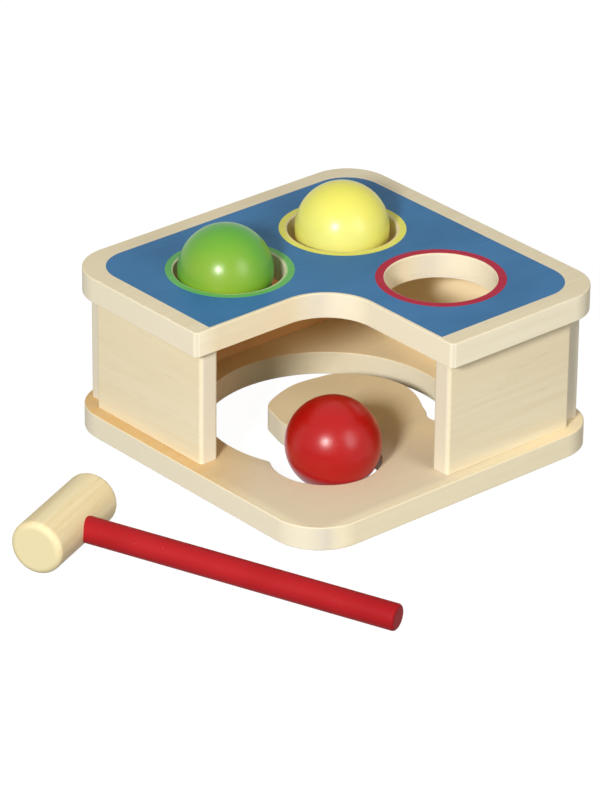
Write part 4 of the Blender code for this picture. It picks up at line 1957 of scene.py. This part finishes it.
@dataclass
class PhotoCamera:
    """The photograph's camera, solved from the boards' edges and corners.

    Attributes:
        azimuth: of the view, in radians from +Y towards +X.
        elevation: above the horizon, in radians.
        roll: in radians.
        distance: from the bench's middle.
        side_shift: of that middle in the view.
        rise_shift: the same, upwards.
        middle_height: of the bench's middle above the floor.
        focal_pixels: the focal length in pixels of the frame.
        frame_height: of the frame, in pixels.
        sensor: the sensor's longer side, in millimetres.
        far: the distance beyond which nothing shows.
    """

    azimuth: float = 0.714819
    elevation: float = 0.475192
    roll: float = -0.010039
    distance: float = 2.64188
    side_shift: float = 0.0175732
    rise_shift: float = 0.0243791
    middle_height: float = 0.046
    focal_pixels: float = 5081.67
    frame_height: float = 800.0
    sensor: float = 36.0
    far: float = 20.0

    def axes(self) -> tuple[Vector, Vector, Vector]:
        """Turns level directions by the azimuth, the elevation and the roll.

        Returns:
            The view's right, up and forward directions.
        """
        level = Vector((math.sin(self.azimuth), math.cos(self.azimuth), 0.0))
        right = Vector((math.cos(self.azimuth), -math.sin(self.azimuth), 0.0))
        rise = Vector(Side.UP.value)
        ahead = level * math.cos(self.elevation) - rise * math.sin(self.elevation)
        up = level * math.sin(self.elevation) + rise * math.cos(self.elevation)
        rolled_right = right * math.cos(self.roll) - up * math.sin(self.roll)
        rolled_up = right * math.sin(self.roll) + up * math.cos(self.roll)
        return rolled_right, rolled_up, ahead

    def build(self) -> None:
        """Makes the camera."""
        right, up, ahead = self.axes()
        data = bpy.data.cameras.new("photo_camera")
        data.sensor_width = self.sensor
        data.lens = self.focal_pixels / self.frame_height * self.sensor
        data.clip_end = self.far
        camera = bpy.data.objects.new("photo_camera", data)
        bpy.context.scene.collection.objects.link(camera)
        place = Vector((0.0, 0.0, self.middle_height))
        place -= right * self.side_shift + up * self.rise_shift + ahead * self.distance
        aim = Matrix((right, up, -ahead)).transposed().to_4x4()
        camera.matrix_world = Matrix.Translation(place) @ aim
        bpy.context.scene.camera = camera


@dataclass
class Studio:
    """The white floor, the backdrop and the lamps.

    Attributes:
        floor_size: side of the floor.
        floor_level: of the floor, just below the board.
        floor_glow: how white the floor is to the camera without light.
        floor_albedo: how much lamp light the floor gives back.
        sky: strength of the light from all round.
        key_power: of the lamp on the left, in watts.
        fill_power: of the lamp on the right, in watts.
        lamp_distance: of the lamps from the bench.
    """

    floor_size: float = 8.0
    floor_level: float = -0.0002
    floor_glow: float = 0.96
    floor_albedo: float = 0.12
    sky: float = 0.26
    key_power: float = 33.8
    fill_power: float = 12.1
    lamp_distance: float = 1.9

    @staticmethod
    def direct_rays(tree: bpy.types.NodeTree) -> Socket:
        """Gives 1 for camera, glossy and transmission rays, and 0 for others.

        Args:
            tree: the material's or the world's tree.

        Returns:
            The value.
        """
        seen = add_node(tree, "ShaderNodeLightPath", {}, "Is Camera Ray")
        for name in ("Is Glossy Ray", "Is Transmission Ray"):
            other = add_node(tree, "ShaderNodeLightPath", {}, name)
            seen = add_node(tree, "ShaderNodeMath", {0: seen, 1: other}, operation="MAXIMUM")
        return seen

    def build_floor(self) -> None:
        """Makes the floor: matt white, with a glow that only direct rays see."""
        half = self.floor_size / 2
        corners = np.array([
            [(x, y, self.floor_level) for x in (-half, half)] for y in (-half, half)
        ])
        skin = Skin()
        up = np.broadcast_to(np.array(Side.UP.value), corners.shape)
        skin.add_grid(skin.add_points(corners), up, wrap=False)
        floor = skin.build("studio_floor")
        material = bpy.data.materials.new("studio_white")
        material.use_nodes = True
        tree = material.node_tree
        tree.nodes.clear()
        matt = add_node(tree, "ShaderNodeBsdfDiffuse", {"Color": (*[self.floor_albedo] * 3, 1.0)})
        strength = add_node(
            tree, "ShaderNodeMath", {0: self.direct_rays(tree), 1: self.floor_glow},
            operation="MULTIPLY",
        )
        glow = add_node(tree, "ShaderNodeEmission", {"Strength": strength})
        both = add_node(tree, "ShaderNodeAddShader", {0: matt, 1: glow})
        out = tree.nodes.new("ShaderNodeOutputMaterial")
        tree.links.new(both, out.inputs["Surface"])
        floor.data.materials.append(material)

    def build_sky(self) -> None:
        """Makes the world: white to direct rays, and a soft even light."""
        world = bpy.data.worlds.new("studio_sky")
        bpy.context.scene.world = world
        world.use_nodes = True
        tree = world.node_tree
        ground = tree.nodes["Background"]
        ground.inputs["Color"].default_value = (1.0, 1.0, 1.0, 1.0)
        strength = add_node(tree, "ShaderNodeMapRange", {
            "Value": self.direct_rays(tree), "To Min": self.sky, "To Max": 1.0,
        })
        tree.links.new(strength, ground.inputs["Strength"])

    def build_lamp(self, name: str, direction: Triple, power: float, size: Pair) -> None:
        """Makes a white area lamp that faces the bench.

        Args:
            name: the lamp's name.
            direction: from the bench to the lamp.
            power: in watts.
            size: its face's width and height.
        """
        data = bpy.data.lights.new(name, "AREA")
        data.shape = "ELLIPSE"
        data.size, data.size_y = size
        data.energy = power
        lamp = bpy.data.objects.new(name, data)
        bpy.context.scene.collection.objects.link(lamp)
        aim = Vector(direction).normalized()
        lamp.location = aim * self.lamp_distance
        lamp.rotation_euler = aim.to_track_quat("Z", "Y").to_euler()

    def build(self) -> None:
        """Makes the floor, the sky and the two lamps beside the camera."""
        self.build_floor()
        self.build_sky()
        self.build_lamp("key_lamp", (-0.7697, -0.4354, 0.4669), self.key_power, (0.32, 0.32))
        self.build_lamp("fill_lamp", (0.0677, -0.880, 0.4654), self.fill_power, (0.85, 1.20))
        bpy.context.scene.view_settings.view_transform = "Standard"


def main() -> None:
    """Builds the whole scene round the frame."""
    logging.basicConfig(level=logging.INFO, format="%(name)s: %(message)s")
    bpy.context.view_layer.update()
    PhotoCamera().build()
    Studio().build()
    fasteners = Fasteners()
    BaseBoard().build(fasteners)
    TopBoard().build(fasteners)
    Walls().build(fasteners)
    fasteners.build()
    ElasticLines().build()
    Balls().build()
    Hammer().build()
    bpy.context.view_layer.update()


if __name__ == "__main__":
    main()
